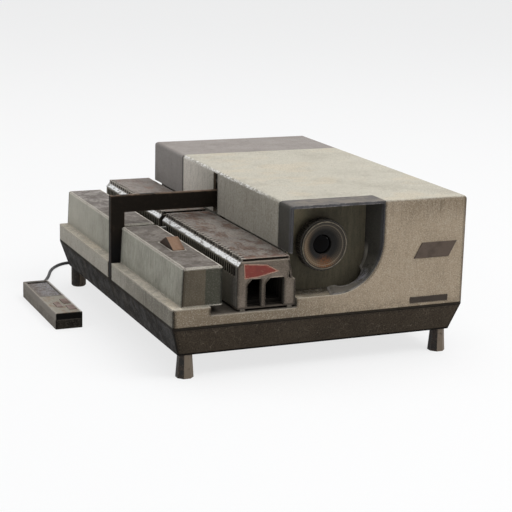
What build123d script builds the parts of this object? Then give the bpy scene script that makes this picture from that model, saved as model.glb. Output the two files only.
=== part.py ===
"""Slide projector with a straight tray, a changer arm and a wired remote.

Millimetres. +X is the projector's right, +Y its rear and +Z up, and the lens looks towards -Y.
The sizes are laid out from the middle of the projector's footprint on the floor. The finished
pieces are then moved so that the origin is on the floor under the middle of the whole set,
handset and trays included.
"""

import math
import os

from build123d import *

os.makedirs("parts", exist_ok=True)


# Middle of the whole set, from the middle of the projector
set_middle_x = -30.0
set_middle_y = 11.0

# Body
body_width = 330.0
body_depth = 415.0
base_bottom_z = 25.0
parting_z = 54.5
deck_z = 75.5
top_z = 173.0
base_inset = 9.0
wall = 3.0
base_wall = 3.0
corner_radius = 3.0
top_edge_radius = 4.0

left_x = -body_width / 2
right_x = body_width / 2
front_y = -body_depth / 2
rear_y = body_depth / 2

# Housing box and its undercut along the tray
housing_inset = 125.0
undercut_z = 124.5
undercut_depth = 9.0
cover_depth = 101.0
seam_gap = 0.6
housing_left_x = left_x + housing_inset
housing_width = right_x - housing_left_x
lower_left_x = housing_left_x + undercut_depth
seam_y = rear_y - cover_depth

# Tray channel
channel_left_x = left_x + 40.0
channel_floor_z = 67.0
liner_thickness = 1.0
runner_height = 2.2
runner_width = 5.0
runner_inset = 6.0

# Lens recess
recess_width = 107.0
recess_floor_z = 77.0
recess_radius = 54.0
recess_back_radius = 37.5
recess_back_inset = 7.0
recess_depth = 30.0
bezel_rim = 1.5
bezel_wall = 3.0
panel_thickness = 2.5
recess_right_x = housing_left_x + recess_width
recess_back_y = front_y + recess_depth

# Optics
axis_x = housing_left_x + 43.5
axis_z = 127.5
barrel_radius = 21.0
barrel_front_y = front_y + 10.0
barrel_rear_y = barrel_front_y + 105.5
lip_radius = 25.2
lip_thickness = 1.5
funnel_radius = 23.6
funnel_depth = 6.0
glass_radius = 10.3
glass_thickness = 4.0
light_bore_radius = 16.5
ring_radius = 27.5
ring_width = 12.0
ring_gap = 0.2
knurl_count = 44
knurl_depth = 0.8
knurl_width = 1.6
running_clearance = 0.05
mount_radius = 25.0
panel_hole_clearance = 0.6
focus_travel = 4.0

# Slides and trays
slide_pitch = 6.0
slide_size = 50.0
front_slots = 36
front_first_slot = -33
rear_slots = 32
rear_first_slot = 6
tray_left_x = channel_left_x + 28.0
tray_top_left_x = tray_left_x + 4.0
tray_bevel_z = 114.5
tray_lid_bottom_z = 119.4
tray_top_z = 123.0
tray_top_right_x = housing_left_x - 0.3
tray_foot_right_x = lower_left_x - 2.0
tray_foot_top_z = 98.0
tray_shoulder_x = tray_foot_right_x - 3.0
tray_shoulder_z = 99.5
tray_wall = 1.2
tray_floor = 1.2
tray_clearance = 0.3
partition_thickness = 1.2
partition_overlap = 4.0
slot_window = 3.6
strip_thickness = 0.8
lid_thickness = 1.0
end_wall_relief = 3.5

# Feed gear, which meshes with the slots in the trays' right wall
gear_teeth = 20
gear_y = -60.0
gear_bottom_z = 78.0
gear_width = 6.0
gear_addendum = 1.4
gear_dedendum = 2.2
gear_backlash = 0.9
gear_tip_half = 0.8
gear_shaft_radius = 2.5
motor_radius = 14.0
motor_gap = 1.0

tray_end_openings = (
    (tray_left_x + 11.0, tray_left_x + 26.4),
    (tray_left_x + 31.0, tray_left_x + 51.4),
)
tray_end_shoulder_z = 95.2
tray_end_top_z = 100.8
tray_end_slope = 5.0
coupling_tongue_width = 14.0
coupling_tongue_height = 8.0

# Deck blocks
block_left_x = left_x + 10.5
block_lean = 2.0
block_right_x = channel_left_x + 14.0
block_top_z = 116.0
block_gap = 10.4
block_front_margin = 5.5
block_rear_margin = 1.0
block_wall = 2.6
block_edge = 1.4

# Control key
key_length = 41.0
key_width = 13.0
key_center_x = left_x + 34.5
key_center_y = front_y + 100.0
key_ridge_height = 9.5
key_base_height = 0.8
key_clearance = 0.8
key_pin_radius = 1.5
key_pin_drop = 6.0
key_depth = 9.0

# Changer arm
arm_thickness = 7.0
arm_leg_width = 16.0
arm_beam_bottom_z = 132.0
arm_beam_top_z = 151.0
arm_foot_z = 58.0
arm_slot_gap = 2.0
arm_inner_x = housing_left_x + 16.0
arm_travel = 48.0
blade_thickness = 2.4
blade_bottom_z = 104.0
blade_height = 8.0
blade_tip_gap = 1.2
carriage_length = 12.0
carriage_width = 16.0
carriage_top_z = 168.0
rod_radius = 4.0
rod_z = 160.5
rod_bracket_x = axis_x + 58.5

# Feet
foot_inset_x = 19.0
foot_inset_y = 17.0
foot_top_radius = 7.6
foot_bottom_radius = 9.4
foot_stem_radius = 4.0
foot_gap = 0.2
rear_foot_inset_x = 19.0
rear_foot_inset_y = 19.5
rear_foot_radius = 9.0
bush_radius = 5.4
bush_wall = 2.0
bush_height = 16.0

# Cover hinge
hinge_y = rear_y - 4.3
hinge_z = deck_z + 6.5
hinge_pin_radius = 1.5
knuckle_radius = 3.6
knuckle_length = 12.0
ear_thickness = 4.0
ear_gap = 0.4
hinge_places = (housing_left_x + 40.0, right_x - 40.0)
cover_bottom_z = deck_z + seam_gap
heel_relief = 2.2

# Chassis and inner parts
chassis_z = 56.0
chassis_thickness = 1.5
chassis_top_z = chassis_z + chassis_thickness
gate_y = 0.0
gate_gap = 8.6
gate_plate = 1.5
gate_width = 60.0
gate_top_z = 150.0
gate_aperture = 38.0
condenser_radius = 28.0
condenser_tube_wall = 3.0
condenser_front_y = 16.0
condenser_rear_y = 84.0
lamp_y = 118.0
lamp_radius = 6.5
lamp_house_left_x = axis_x - 27.5
lamp_house_right_x = axis_x + 40.5
lamp_house_front_y = 86.0
lamp_house_rear_y = 164.0
lamp_house_top_z = 164.0
sheet = 1.2
fan_x = lamp_house_right_x + 16.0
fan_y = rear_y - 55.5
fan_size = 84.0
fan_depth = 28.0
fan_bore_radius = fan_size / 2 - 3.0
fan_blades = 7

# Remote handset and its cord
remote_width = 31.0
remote_length = 147.0
remote_height = 18.5
remote_x = left_x - 44.0
remote_front_y = 10.0
remote_seam_z = 11.0
remote_wall = 1.8
remote_mid_y = remote_front_y + remote_length / 2
remote_rear_y = remote_front_y + remote_length
panel_sink = 1.2
panel_width = 24.0
panel_front_y = remote_front_y + 75.5
panel_rear_y = remote_rear_y - 7.0
key_holes = [
    (remote_x + 8.2, remote_front_y + 46.5, 8.4, 19.0),
    (remote_x + 8.2, remote_front_y + 20.0, 8.4, 17.0),
    (remote_x - 3.4, remote_front_y + 34.0, 7.0, 19.0),
]
remote_key_gap = 0.4
remote_key_rise = 0.9
remote_key_flange = 1.0
sleeve_radius = 4.0
cord_diameter = 4.0
gland_x = left_x + 64.0
gland_z = 38.0
gland_length = 14.0
gland_radius = 5.5

# Mains inlet
inlet_x = right_x - 55.0
inlet_z = 40.0
inlet_width = 28.0
inlet_height = 20.0
inlet_flange = 2.0
inlet_gap = 0.2

# Bare plates on the front face
badge_x = right_x - 36.5
badge_z = 117.0
badge_width = 42.0
badge_height = 16.5
badge_slant = 9.0
plate_thickness = 1.0

# Transformer
core_x = right_x - 47.0
core_y = front_y + 95.5
core_width = 70.0
core_height = 58.0
core_depth = 34.0
leg = 14.0

# Air slots and small parts inside
air_slot_width = 4.0
air_slots_x = right_x - 65.0
air_slots_rear_y = rear_y - 87.5
air_slots_front_y = front_y + 137.5
socket_shelf_z = 92.0
socket_top_z = 106.0
lamp_pin_radius = 0.8
lamp_pin_offset = 3.2
lamp_height = 30.0
condenser_dome = 9.0
reflector_radius = 24.0
reflector_bottom_radius = 8.0
reflector_depth = 8.0
fan_motor_radius = 12.0
motor_depth = 9.0
hub_radius = 15.0
wheel_depth = 12.0
fan_strut = 3.0
fan_blade_thickness = 1.6
blade_pitch_angle = 32.0
board_x = right_x - 53.0
board_y = 10.0
board_width = 80.0
board_length = 100.0
board_thickness = 1.6
board_gap = 6.0


def finish(piece, label):
    """Move a finished piece to the set's origin, label it and write it."""
    placed = Pos(-set_middle_x, -set_middle_y, 0) * piece.part
    placed.label = label
    export_step(placed, f"parts/{label}.step")


# Base pan: sloping sides, flat floor with slots, bosses for the chassis and the feet
pan_floor_z = base_bottom_z + base_wall
boss_places = [
    (lower_left_x + 19.0, front_y + 30.0),
    (right_x - 20.0, front_y + 30.0),
    (lower_left_x + 19.0, 10.0),
    (right_x - 20.0, 10.0),
    (lower_left_x + 19.0, rear_y - 26.0),
    (right_x - 20.0, rear_y - 26.0),
]
front_foot_places = [
    (left_x + foot_inset_x, front_y + foot_inset_y),
    (right_x - foot_inset_x, front_y + foot_inset_y),
]
rear_foot_places = [
    (left_x + rear_foot_inset_x, rear_y - rear_foot_inset_y),
    (right_x - rear_foot_inset_x, rear_y - rear_foot_inset_y),
]
tray_bottom_z = channel_floor_z + liner_thickness + runner_height + tray_clearance
gear_pitch_radius = gear_teeth * slide_pitch / (2 * math.pi)
gear_x = tray_foot_right_x - tray_wall + gear_pitch_radius
slope = base_inset / (parting_z - base_bottom_z)

with BuildPart() as base_pan:
    with BuildSketch(Plane.XY.offset(base_bottom_z)):
        RectangleRounded(body_width - 2 * base_inset, body_depth - 2 * base_inset, corner_radius)
    with BuildSketch(Plane.XY.offset(parting_z)):
        RectangleRounded(body_width, body_depth, corner_radius)
    loft()
    with BuildSketch(Plane.XY.offset(pan_floor_z)):
        RectangleRounded(
            body_width - 2 * base_inset - 2 * base_wall + 2 * base_wall * slope,
            body_depth - 2 * base_inset - 2 * base_wall + 2 * base_wall * slope,
            corner_radius,
        )
    with BuildSketch(Plane.XY.offset(parting_z)):
        RectangleRounded(body_width - 2 * base_wall, body_depth - 2 * base_wall, corner_radius)
    loft(mode=Mode.SUBTRACT)
    # Bosses that carry the chassis plate
    with BuildSketch(Plane.XY.offset(base_bottom_z)):
        with Locations(*boss_places):
            Circle(6.0)
    extrude(amount=chassis_z - base_bottom_z)
    # Bosses round the front feet's bushings
    with BuildSketch(Plane.XY.offset(base_bottom_z)):
        with Locations(*front_foot_places):
            Circle(bush_radius + bush_wall)
    extrude(amount=bush_height)
    with BuildSketch(Plane.XY.offset(base_bottom_z)):
        with Locations(*front_foot_places):
            Circle(bush_radius)
    extrude(amount=bush_height, mode=Mode.SUBTRACT)
    # Stiffening ribs across the floor
    with BuildSketch(Plane.XY.offset(pan_floor_z)):
        with Locations((left_x + 60.0, 0), (axis_x + 36.5, 0)):
            Rectangle(2.0, body_depth - 2 * base_inset - 2 * base_wall)
        with Locations((0, front_y + 90.0), (0, 70.0)):
            Rectangle(body_width - 2 * base_inset - 2 * base_wall, 2.0)
    extrude(amount=6.0)
    # Air slots in the floor
    with BuildSketch(Plane.XY.offset(base_bottom_z)):
        with Locations((air_slots_x, air_slots_rear_y)):
            with GridLocations(9.0, 1.0, 8, 1):
                Rectangle(air_slot_width, 70.0)
        with Locations((air_slots_x, air_slots_front_y)):
            with GridLocations(9.0, 1.0, 8, 1):
                Rectangle(air_slot_width, 60.0)
    extrude(amount=base_wall + 7.0, mode=Mode.SUBTRACT)
    # Rear wall: mains inlet and cord gland
    with BuildSketch(Plane.XZ.offset(-rear_y)):
        with Locations((inlet_x, inlet_z)):
            Rectangle(
                inlet_width + 2 * inlet_flange + 2 * inlet_gap,
                inlet_height + 2 * inlet_flange + 2 * inlet_gap,
            )
        with Locations((gland_x, gland_z)):
            Circle(gland_radius - 1.5)
    extrude(amount=base_inset + base_wall + 6.0, mode=Mode.SUBTRACT)
    # Screw holes through the chassis bosses
    with Locations(*[(x, y, base_bottom_z) for x, y in boss_places]):
        Cylinder(1.6, chassis_z - base_bottom_z, align=(Align.CENTER, Align.CENTER, Align.MIN),
                 mode=Mode.SUBTRACT)
        Cylinder(3.4, 4.0, align=(Align.CENTER, Align.CENTER, Align.MIN), mode=Mode.SUBTRACT)
finish(base_pan, "base_pan")


# Main housing: band, deck, tray channel and the box over the optics, open at the back
box_center_y = (front_y + seam_y) / 2
box_length = seam_y - front_y
with BuildPart() as main_housing:
    with BuildSketch(Plane.XY.offset(parting_z)):
        RectangleRounded(body_width, body_depth, corner_radius)
    extrude(amount=deck_z - parting_z)
    with BuildSketch(Plane.XY.offset(deck_z)):
        RectangleRounded(body_width, body_depth, corner_radius)
        with Locations(((lower_left_x + right_x) / 2, box_center_y)):
            Rectangle(right_x - lower_left_x, box_length, mode=Mode.INTERSECT)
    extrude(amount=undercut_z - deck_z)
    with BuildSketch(Plane.XY.offset(undercut_z)):
        RectangleRounded(body_width, body_depth, corner_radius)
        with Locations(((housing_left_x + right_x) / 2, box_center_y)):
            Rectangle(housing_width, box_length, mode=Mode.INTERSECT)
    extrude(amount=top_z - undercut_z)
    top_edges = (
        main_housing.faces()
        .sort_by(Axis.Z)[-1]
        .edges()
        .filter_by(lambda e: e.center().Y < seam_y - 1.0)
    )
    fillet(top_edges, top_edge_radius)
    # Tray channel, right through from front to back
    with BuildSketch(Plane.XY.offset(channel_floor_z)):
        with Locations(((channel_left_x + lower_left_x) / 2, 0)):
            Rectangle(lower_left_x - channel_left_x, body_depth)
    extrude(amount=deck_z - channel_floor_z, mode=Mode.SUBTRACT)
    # Hollow below the deck, left of the box
    with BuildSketch(Plane.XY.offset(parting_z)):
        with Locations(((left_x + lower_left_x) / 2 + wall, 0)):
            Rectangle(lower_left_x - left_x, body_depth - 2 * wall)
    extrude(amount=channel_floor_z - wall - parting_z, mode=Mode.SUBTRACT)
    with BuildSketch(Plane.XY.offset(parting_z)):
        with Locations(((left_x + channel_left_x) / 2, 0)):
            Rectangle(channel_left_x - left_x - 2 * wall, body_depth - 2 * wall)
    extrude(amount=deck_z - wall - parting_z, mode=Mode.SUBTRACT)
    # Hollow of the box, open at the seam, and the open floor behind it
    with BuildSketch(Plane.XY.offset(parting_z)):
        with Locations(((lower_left_x + right_x) / 2, 0)):
            Rectangle(right_x - lower_left_x - 2 * wall, body_depth - 2 * wall)
    extrude(amount=deck_z - parting_z, mode=Mode.SUBTRACT)
    with BuildSketch(Plane.XY.offset(deck_z)):
        with Locations(((lower_left_x + right_x) / 2, box_center_y + wall / 2)):
            Rectangle(right_x - lower_left_x - 2 * wall, box_length - wall)
    extrude(amount=undercut_z + wall - deck_z, mode=Mode.SUBTRACT)
    with BuildSketch(Plane.XY.offset(undercut_z + wall)):
        with Locations(((housing_left_x + right_x) / 2, box_center_y + wall / 2)):
            Rectangle(housing_width - 2 * wall, box_length - wall)
    extrude(amount=top_z - undercut_z - 2 * wall, mode=Mode.SUBTRACT)
    # Floor of the lens recess, then the recess itself
    with BuildSketch(Plane.XY.offset(deck_z - wall)):
        with Locations(((lower_left_x + recess_right_x) / 2, front_y + (recess_depth + panel_thickness) / 2)):
            Rectangle(recess_right_x - lower_left_x, recess_depth + panel_thickness)
    extrude(amount=recess_floor_z - deck_z + wall)
    with BuildSketch(Plane.XZ.offset(-front_y)):
        with BuildLine():
            Polyline(
                (housing_left_x - 1.0, recess_floor_z),
                (housing_left_x - 1.0, top_z + 1.0),
                (recess_right_x, top_z + 1.0),
                (recess_right_x, recess_floor_z + recess_radius),
            )
            RadiusArc(
                (recess_right_x, recess_floor_z + recess_radius),
                (recess_right_x - recess_radius, recess_floor_z),
                recess_radius,
            )
            Line((recess_right_x - recess_radius, recess_floor_z), (housing_left_x - 1.0, recess_floor_z))
        make_face()
    extrude(amount=-recess_depth, mode=Mode.SUBTRACT)
    # Slot for the arm and the slides, and the notch for the arm's foot
    with BuildSketch(Plane.XY.offset(channel_floor_z + liner_thickness)):
        with Locations(((housing_left_x + lower_left_x) / 2 + wall / 2, 0)):
            Rectangle(undercut_depth + wall + 2.0, arm_thickness + 2 * arm_slot_gap)
    extrude(amount=top_z - 2 * wall - channel_floor_z + 2.0, mode=Mode.SUBTRACT)
    with BuildSketch(Plane.XY.offset(arm_foot_z - 1.5)):
        with Locations((left_x + (arm_leg_width + arm_travel + 2.0) / 2 - 1.0, 0)):
            Rectangle(arm_leg_width + arm_travel + 4.0, arm_thickness + 2 * arm_slot_gap)
    extrude(amount=deck_z - arm_foot_z + 2.0, mode=Mode.SUBTRACT)
    # Window for the feed gear
    with BuildSketch(Plane.XY.offset(gear_bottom_z - 1.5)):
        with Locations((lower_left_x + wall / 2, gear_y)):
            Rectangle(wall + 2.0, 2 * (gear_pitch_radius - 1.0))
    extrude(amount=gear_width + 3.0, mode=Mode.SUBTRACT)
    # Ears of the cover's hinge
    with BuildSketch(Plane.XZ.offset(-(hinge_y + knuckle_radius - 0.4))):
        for place in hinge_places:
            with Locations(
                (place - knuckle_length / 2 - ear_gap - ear_thickness / 2, (deck_z - wall + hinge_z) / 2),
                (place + knuckle_length / 2 + ear_gap + ear_thickness / 2, (deck_z - wall + hinge_z) / 2),
            ):
                Rectangle(ear_thickness, hinge_z - deck_z + wall)
    extrude(amount=2 * knuckle_radius - 0.4)
    for place in hinge_places:
        for side in (-1, 1):
            with BuildSketch(Plane.YZ.offset(place + side * (knuckle_length / 2 + ear_gap))):
                with Locations((hinge_y, hinge_z)):
                    Circle(knuckle_radius)
            extrude(amount=side * ear_thickness)
        with BuildSketch(Plane.YZ.offset(place - knuckle_length)):
            with Locations((hinge_y, hinge_z)):
                Circle(hinge_pin_radius)
        extrude(amount=2 * knuckle_length, mode=Mode.SUBTRACT)
finish(main_housing, "main_housing")


# Lens bezel: hood at the corner of the box, flared towards the front
def recess_outline(right, floor, radius, left, ceiling, toe):
    """Outline of the recess: straight left, top and right sides and one large lower corner."""
    Polyline((left, floor - toe), (left, ceiling), (right, ceiling), (right, floor + radius))
    RadiusArc((right, floor + radius), (right - radius, floor), radius)
    Polyline((right - radius, floor), (right - radius - 8.0, floor - toe), (left, floor - toe))


with BuildPart() as lens_bezel:
    with BuildSketch(Plane.XZ.offset(-front_y)):
        with BuildLine():
            Polyline(
                (housing_left_x, recess_floor_z),
                (housing_left_x, top_z),
                (recess_right_x, top_z),
                (recess_right_x, recess_floor_z + recess_radius),
            )
            RadiusArc(
                (recess_right_x, recess_floor_z + recess_radius),
                (recess_right_x - recess_radius, recess_floor_z),
                recess_radius,
            )
            Line((recess_right_x - recess_radius, recess_floor_z), (housing_left_x, recess_floor_z))
        make_face()
    extrude(amount=-recess_depth)
    hood_edges = (
        lens_bezel.edges()
        .filter_by(GeomType.LINE)
        .filter_by(lambda e: e.center().Z > top_z - 0.5 and e.center().Y < recess_back_y - 1.0)
    )
    fillet(hood_edges.sort_by(Axis.X)[0], top_edge_radius)
    with BuildSketch(Plane.XZ.offset(-front_y)):
        with BuildLine():
            recess_outline(
                recess_right_x - bezel_rim,
                recess_floor_z + bezel_rim,
                recess_radius - bezel_rim,
                housing_left_x + bezel_wall,
                top_z - bezel_wall,
                bezel_rim + 0.5,
            )
        make_face()
    with BuildSketch(Plane.XZ.offset(-recess_back_y)):
        with BuildLine():
            recess_outline(
                recess_right_x - recess_back_inset,
                recess_floor_z + bezel_rim,
                recess_back_radius,
                housing_left_x + bezel_wall,
                top_z - bezel_wall - 1.0,
                bezel_rim + 0.5,
            )
        make_face()
    loft(mode=Mode.SUBTRACT)
    # Open to the tray below the undercut
    with BuildSketch(Plane.XZ.offset(-front_y)):
        with Locations((housing_left_x - 1.0, undercut_z)):
            Rectangle(undercut_depth + 4.0, undercut_z - recess_floor_z + 2.0, align=(Align.MIN, Align.MAX))
    extrude(amount=-recess_depth, mode=Mode.SUBTRACT)
finish(lens_bezel, "lens_bezel")


# Panel at the back of the recess, with the lens hole
with BuildPart() as lens_panel:
    with BuildSketch(Plane.XZ.offset(-recess_back_y)):
        with BuildLine():
            Polyline(
                (lower_left_x + wall, recess_floor_z),
                (lower_left_x + wall, undercut_z + wall),
                (housing_left_x + wall, undercut_z + wall),
                (housing_left_x + wall, top_z - wall),
                (recess_right_x + 2.0, top_z - wall),
                (recess_right_x + 2.0, recess_floor_z),
                close=True,
            )
        make_face()
        with Locations((axis_x, axis_z)):
            Circle(barrel_radius + panel_hole_clearance, mode=Mode.SUBTRACT)
    extrude(amount=-panel_thickness)
finish(lens_panel, "lens_panel")


# Lens mount: fixed sleeve on a pedestal
mount_front_y = recess_back_y + panel_thickness
with BuildPart() as lens_mount:
    with BuildSketch(Plane.XZ.offset(-mount_front_y)):
        with Locations((axis_x, axis_z)):
            Circle(mount_radius)
    extrude(amount=-(barrel_rear_y - mount_front_y - focus_travel))
    with BuildSketch(Plane.XY.offset(chassis_top_z)):
        with Locations((axis_x, (mount_front_y + barrel_rear_y) / 2 - 8.0)):
            Rectangle(26.0, 50.0)
    extrude(amount=axis_z - chassis_top_z)
    with BuildSketch(Plane.XZ.offset(-mount_front_y)):
        with Locations((axis_x, axis_z)):
            Circle(barrel_radius + running_clearance)
    extrude(amount=-(barrel_rear_y - mount_front_y), mode=Mode.SUBTRACT)
finish(lens_mount, "lens_mount")


# Lens barrel: tube with a funnel at the front and a retaining lip before the ring
with BuildPart() as lens_barrel:
    with BuildSketch(Plane.XZ.offset(-barrel_front_y)):
        with Locations((axis_x, axis_z)):
            Circle(lip_radius)
    extrude(amount=-lip_thickness)
    with BuildSketch(Plane.XZ.offset(-(barrel_front_y + lip_thickness))):
        with Locations((axis_x, axis_z)):
            Circle(barrel_radius)
    extrude(amount=-(barrel_rear_y - barrel_front_y - lip_thickness))
    with BuildSketch(Plane.XZ.offset(-barrel_front_y)):
        with Locations((axis_x, axis_z)):
            Circle(funnel_radius)
    with BuildSketch(Plane.XZ.offset(-(barrel_front_y + funnel_depth))):
        with Locations((axis_x, axis_z)):
            Circle(glass_radius)
    loft(mode=Mode.SUBTRACT)
    with BuildSketch(Plane.XZ.offset(-(barrel_front_y + funnel_depth))):
        with Locations((axis_x, axis_z)):
            Circle(glass_radius)
    extrude(amount=-glass_thickness, mode=Mode.SUBTRACT)
    with BuildSketch(Plane.XZ.offset(-(barrel_front_y + funnel_depth + glass_thickness))):
        with Locations((axis_x, axis_z)):
            Circle(glass_radius - 0.8)
    extrude(amount=-3.0, mode=Mode.SUBTRACT)
    with BuildSketch(Plane.XZ.offset(-(barrel_front_y + funnel_depth + glass_thickness + 3.0))):
        with Locations((axis_x, axis_z)):
            Circle(light_bore_radius)
    extrude(amount=-(barrel_rear_y - barrel_front_y), mode=Mode.SUBTRACT)
finish(lens_barrel, "lens_barrel")


# Lens glasses: front glass with a sloping rim and the rear glass in the tube's end
with BuildPart() as lens_glasses:
    with BuildSketch(Plane.XZ.offset(-(barrel_front_y + funnel_depth))):
        with Locations((axis_x, axis_z)):
            Circle(glass_radius)
    extrude(amount=-glass_thickness)
    with BuildSketch(Plane.XZ.offset(-(barrel_rear_y - 8.0))):
        with Locations((axis_x, axis_z)):
            Circle(light_bore_radius)
    extrude(amount=-5.0)
    chamfer(lens_glasses.faces().sort_by(Axis.Y)[0].edges(), glass_thickness * 0.4)
    chamfer(lens_glasses.faces().sort_by(Axis.Y)[-1].edges(), 2.0)
finish(lens_glasses, "lens_glasses")


# Focusing ring: knurled grip that runs on the barrel
ring_front_y = barrel_front_y + lip_thickness + ring_gap
with BuildPart() as focus_ring:
    with BuildSketch(Plane.XZ.offset(-ring_front_y)):
        with Locations((axis_x, axis_z)):
            Circle(ring_radius)
            Circle(barrel_radius + running_clearance, mode=Mode.SUBTRACT)
    extrude(amount=-ring_width)
    outer_rims = (
        focus_ring.edges().filter_by(GeomType.CIRCLE).filter_by(lambda e: e.radius > ring_radius - 0.1)
    )
    chamfer(outer_rims, 1.0)
    with BuildSketch(Plane.XZ.offset(-ring_front_y)):
        with Locations((axis_x, axis_z)):
            with PolarLocations(ring_radius, knurl_count):
                Rectangle(2 * knurl_depth, knurl_width)
    extrude(amount=-ring_width, mode=Mode.SUBTRACT)
finish(focus_ring, "focus_ring")


# Bare plates on the front face
with BuildPart() as name_plate:
    with BuildSketch(Plane.XZ.offset(-front_y)):
        with BuildLine():
            Polyline(
                (badge_x - badge_width / 2 - badge_slant / 2, badge_z - badge_height / 2),
                (badge_x - badge_width / 2 + badge_slant / 2, badge_z + badge_height / 2),
                (badge_x + badge_width / 2 + badge_slant / 2, badge_z + badge_height / 2),
                (badge_x + badge_width / 2 - badge_slant / 2, badge_z - badge_height / 2),
                close=True,
            )
        make_face()
    extrude(amount=plate_thickness)
    chamfer(name_plate.faces().sort_by(Axis.Y)[0].edges(), 0.4)
finish(name_plate, "name_plate")

with BuildPart() as info_plate:
    with BuildSketch(Plane.XZ.offset(-front_y)):
        with Locations((right_x - 41.4, 63.4)):
            RectangleRounded(45.6, 6.6, 0.8)
    extrude(amount=plate_thickness * 0.6)
finish(info_plate, "info_plate")


# Deck blocks: hollow covers with a leaning left face and bevelled top edges
def block_cover(y_low, y_high):
    """One hollow deck block between two places along Y."""
    with BuildPart() as cover:
        with BuildSketch(Plane.XZ.offset(-y_low)):
            with BuildLine():
                Polyline(
                    (block_left_x, deck_z),
                    (block_left_x + block_lean, block_top_z),
                    (block_right_x, block_top_z),
                    (block_right_x, deck_z),
                    close=True,
                )
            make_face()
        extrude(amount=-(y_high - y_low))
        chamfer(cover.faces().sort_by(Axis.Z)[-1].edges(), block_edge)
        with BuildSketch(Plane.XZ.offset(-(y_low + block_wall))):
            with BuildLine():
                Polyline(
                    (block_left_x + block_wall, deck_z),
                    (block_left_x + block_lean + block_wall, block_top_z - block_wall),
                    (block_right_x - block_wall, block_top_z - block_wall),
                    (block_right_x - block_wall, deck_z),
                    close=True,
                )
            make_face()
        extrude(amount=-(y_high - y_low - 2 * block_wall), mode=Mode.SUBTRACT)
    return cover


front_block_shell = block_cover(front_y + block_front_margin, -block_gap / 2)
rear_block = block_cover(block_gap / 2, rear_y - block_rear_margin)
finish(rear_block, "rear_block")

key_pivot_z = block_top_z - key_pin_drop
ear_inner = key_width / 2 + key_clearance
with BuildPart() as front_block:
    add(front_block_shell.part)
    with BuildSketch(Plane.XY.offset(block_top_z - block_wall - 1.0)):
        with Locations((key_center_x, key_center_y)):
            Rectangle(key_width + 2 * key_clearance, key_length + 2 * key_clearance)
    extrude(amount=block_wall + 2.0, mode=Mode.SUBTRACT)
    for side in (-1, 1):
        with BuildSketch(Plane.YZ.offset(key_center_x + side * ear_inner)):
            with Locations((key_center_y, key_pivot_z)):
                Circle(4.0)
            with Locations((key_center_y, key_pivot_z + 2.5)):
                Rectangle(8.0, 5.0)
            with Locations((key_center_y, key_pivot_z)):
                Circle(key_pin_radius, mode=Mode.SUBTRACT)
        extrude(amount=side * 3.0)
finish(front_block, "front_block")


# Control key: wedge with a ridge, rocking on a pin
with BuildPart() as control_key:
    with BuildSketch(Plane.YZ.offset(key_center_x - key_width / 2)):
        with BuildLine():
            Polyline(
                (key_center_y - key_length / 2, block_top_z - block_wall),
                (key_center_y - key_length / 2, block_top_z + key_base_height),
                (key_center_y - 1.0, block_top_z + key_ridge_height),
                (key_center_y + 3.0, block_top_z + key_ridge_height),
                (key_center_y + key_length / 2, block_top_z + key_base_height),
                (key_center_y + key_length / 2, block_top_z - block_wall),
                (key_center_y + key_length / 4, block_top_z - key_depth),
                (key_center_y - key_length / 4, block_top_z - key_depth),
                close=True,
            )
        make_face()
        with Locations((key_center_y, key_pivot_z)):
            Circle(key_pin_radius + running_clearance, mode=Mode.SUBTRACT)
    extrude(amount=key_width)
    ridge_edges = control_key.edges().filter_by(Axis.X).filter_by(
        lambda e: e.center().Z > block_top_z + key_ridge_height - 0.2
    )
    fillet(ridge_edges, 1.2)
finish(control_key, "control_key")

with BuildPart() as key_pin:
    with BuildSketch(Plane.YZ.offset(key_center_x - ear_inner - 3.0)):
        with Locations((key_center_y, key_pivot_z)):
            Circle(key_pin_radius)
    extrude(amount=2 * ear_inner + 6.0)
finish(key_pin, "key_pin")


# Channel liner with two runners under the trays
liner_left_x = channel_left_x
liner_right_x = lower_left_x
liner_top_z = channel_floor_z + liner_thickness
with BuildPart() as tray_channel:
    with BuildSketch(Plane.XY.offset(channel_floor_z)):
        with Locations(((liner_left_x + liner_right_x) / 2, 0)):
            Rectangle(liner_right_x - liner_left_x, body_depth)
    extrude(amount=liner_thickness)
    with BuildSketch(Plane.XY.offset(liner_top_z)):
        with Locations(
            (tray_left_x + runner_inset, 0),
            (tray_foot_right_x - runner_inset, 0),
        ):
            Rectangle(runner_width, body_depth)
    extrude(amount=runner_height)
    # Notch for the arm's leg
    with BuildSketch(Plane.XY.offset(channel_floor_z)):
        with Locations((liner_left_x, 0)):
            Rectangle(2 * (left_x + arm_leg_width + arm_travel + 2.0 - liner_left_x),
                      arm_thickness + 2 * arm_slot_gap)
    extrude(amount=liner_thickness + runner_height, mode=Mode.SUBTRACT)
finish(tray_channel, "tray_channel")


# Trays: one profile for both
slide_left_x = tray_top_left_x + tray_wall
slide_right_x = slide_left_x + slide_size
floor_top_z = tray_bottom_z + tray_floor


def tray_section(inset, floor_rise):
    """Outline of the tray body below its lid, drawn in by inset and with its floor raised."""
    Polyline(
        (tray_left_x + inset, tray_bottom_z + floor_rise),
        (tray_left_x + inset, tray_bevel_z),
        (tray_top_left_x + inset, tray_lid_bottom_z),
        (tray_top_right_x - inset, tray_lid_bottom_z),
        (tray_top_right_x - inset, tray_shoulder_z - inset),
        (tray_foot_right_x - inset, tray_foot_top_z - inset),
        (tray_foot_right_x - inset, tray_bottom_z + floor_rise),
        close=True,
    )


def slot_middles(first_slot, slots):
    """Places along Y of the middles of a run of slots."""
    return [(first_slot + index) * slide_pitch for index in range(slots)]


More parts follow.
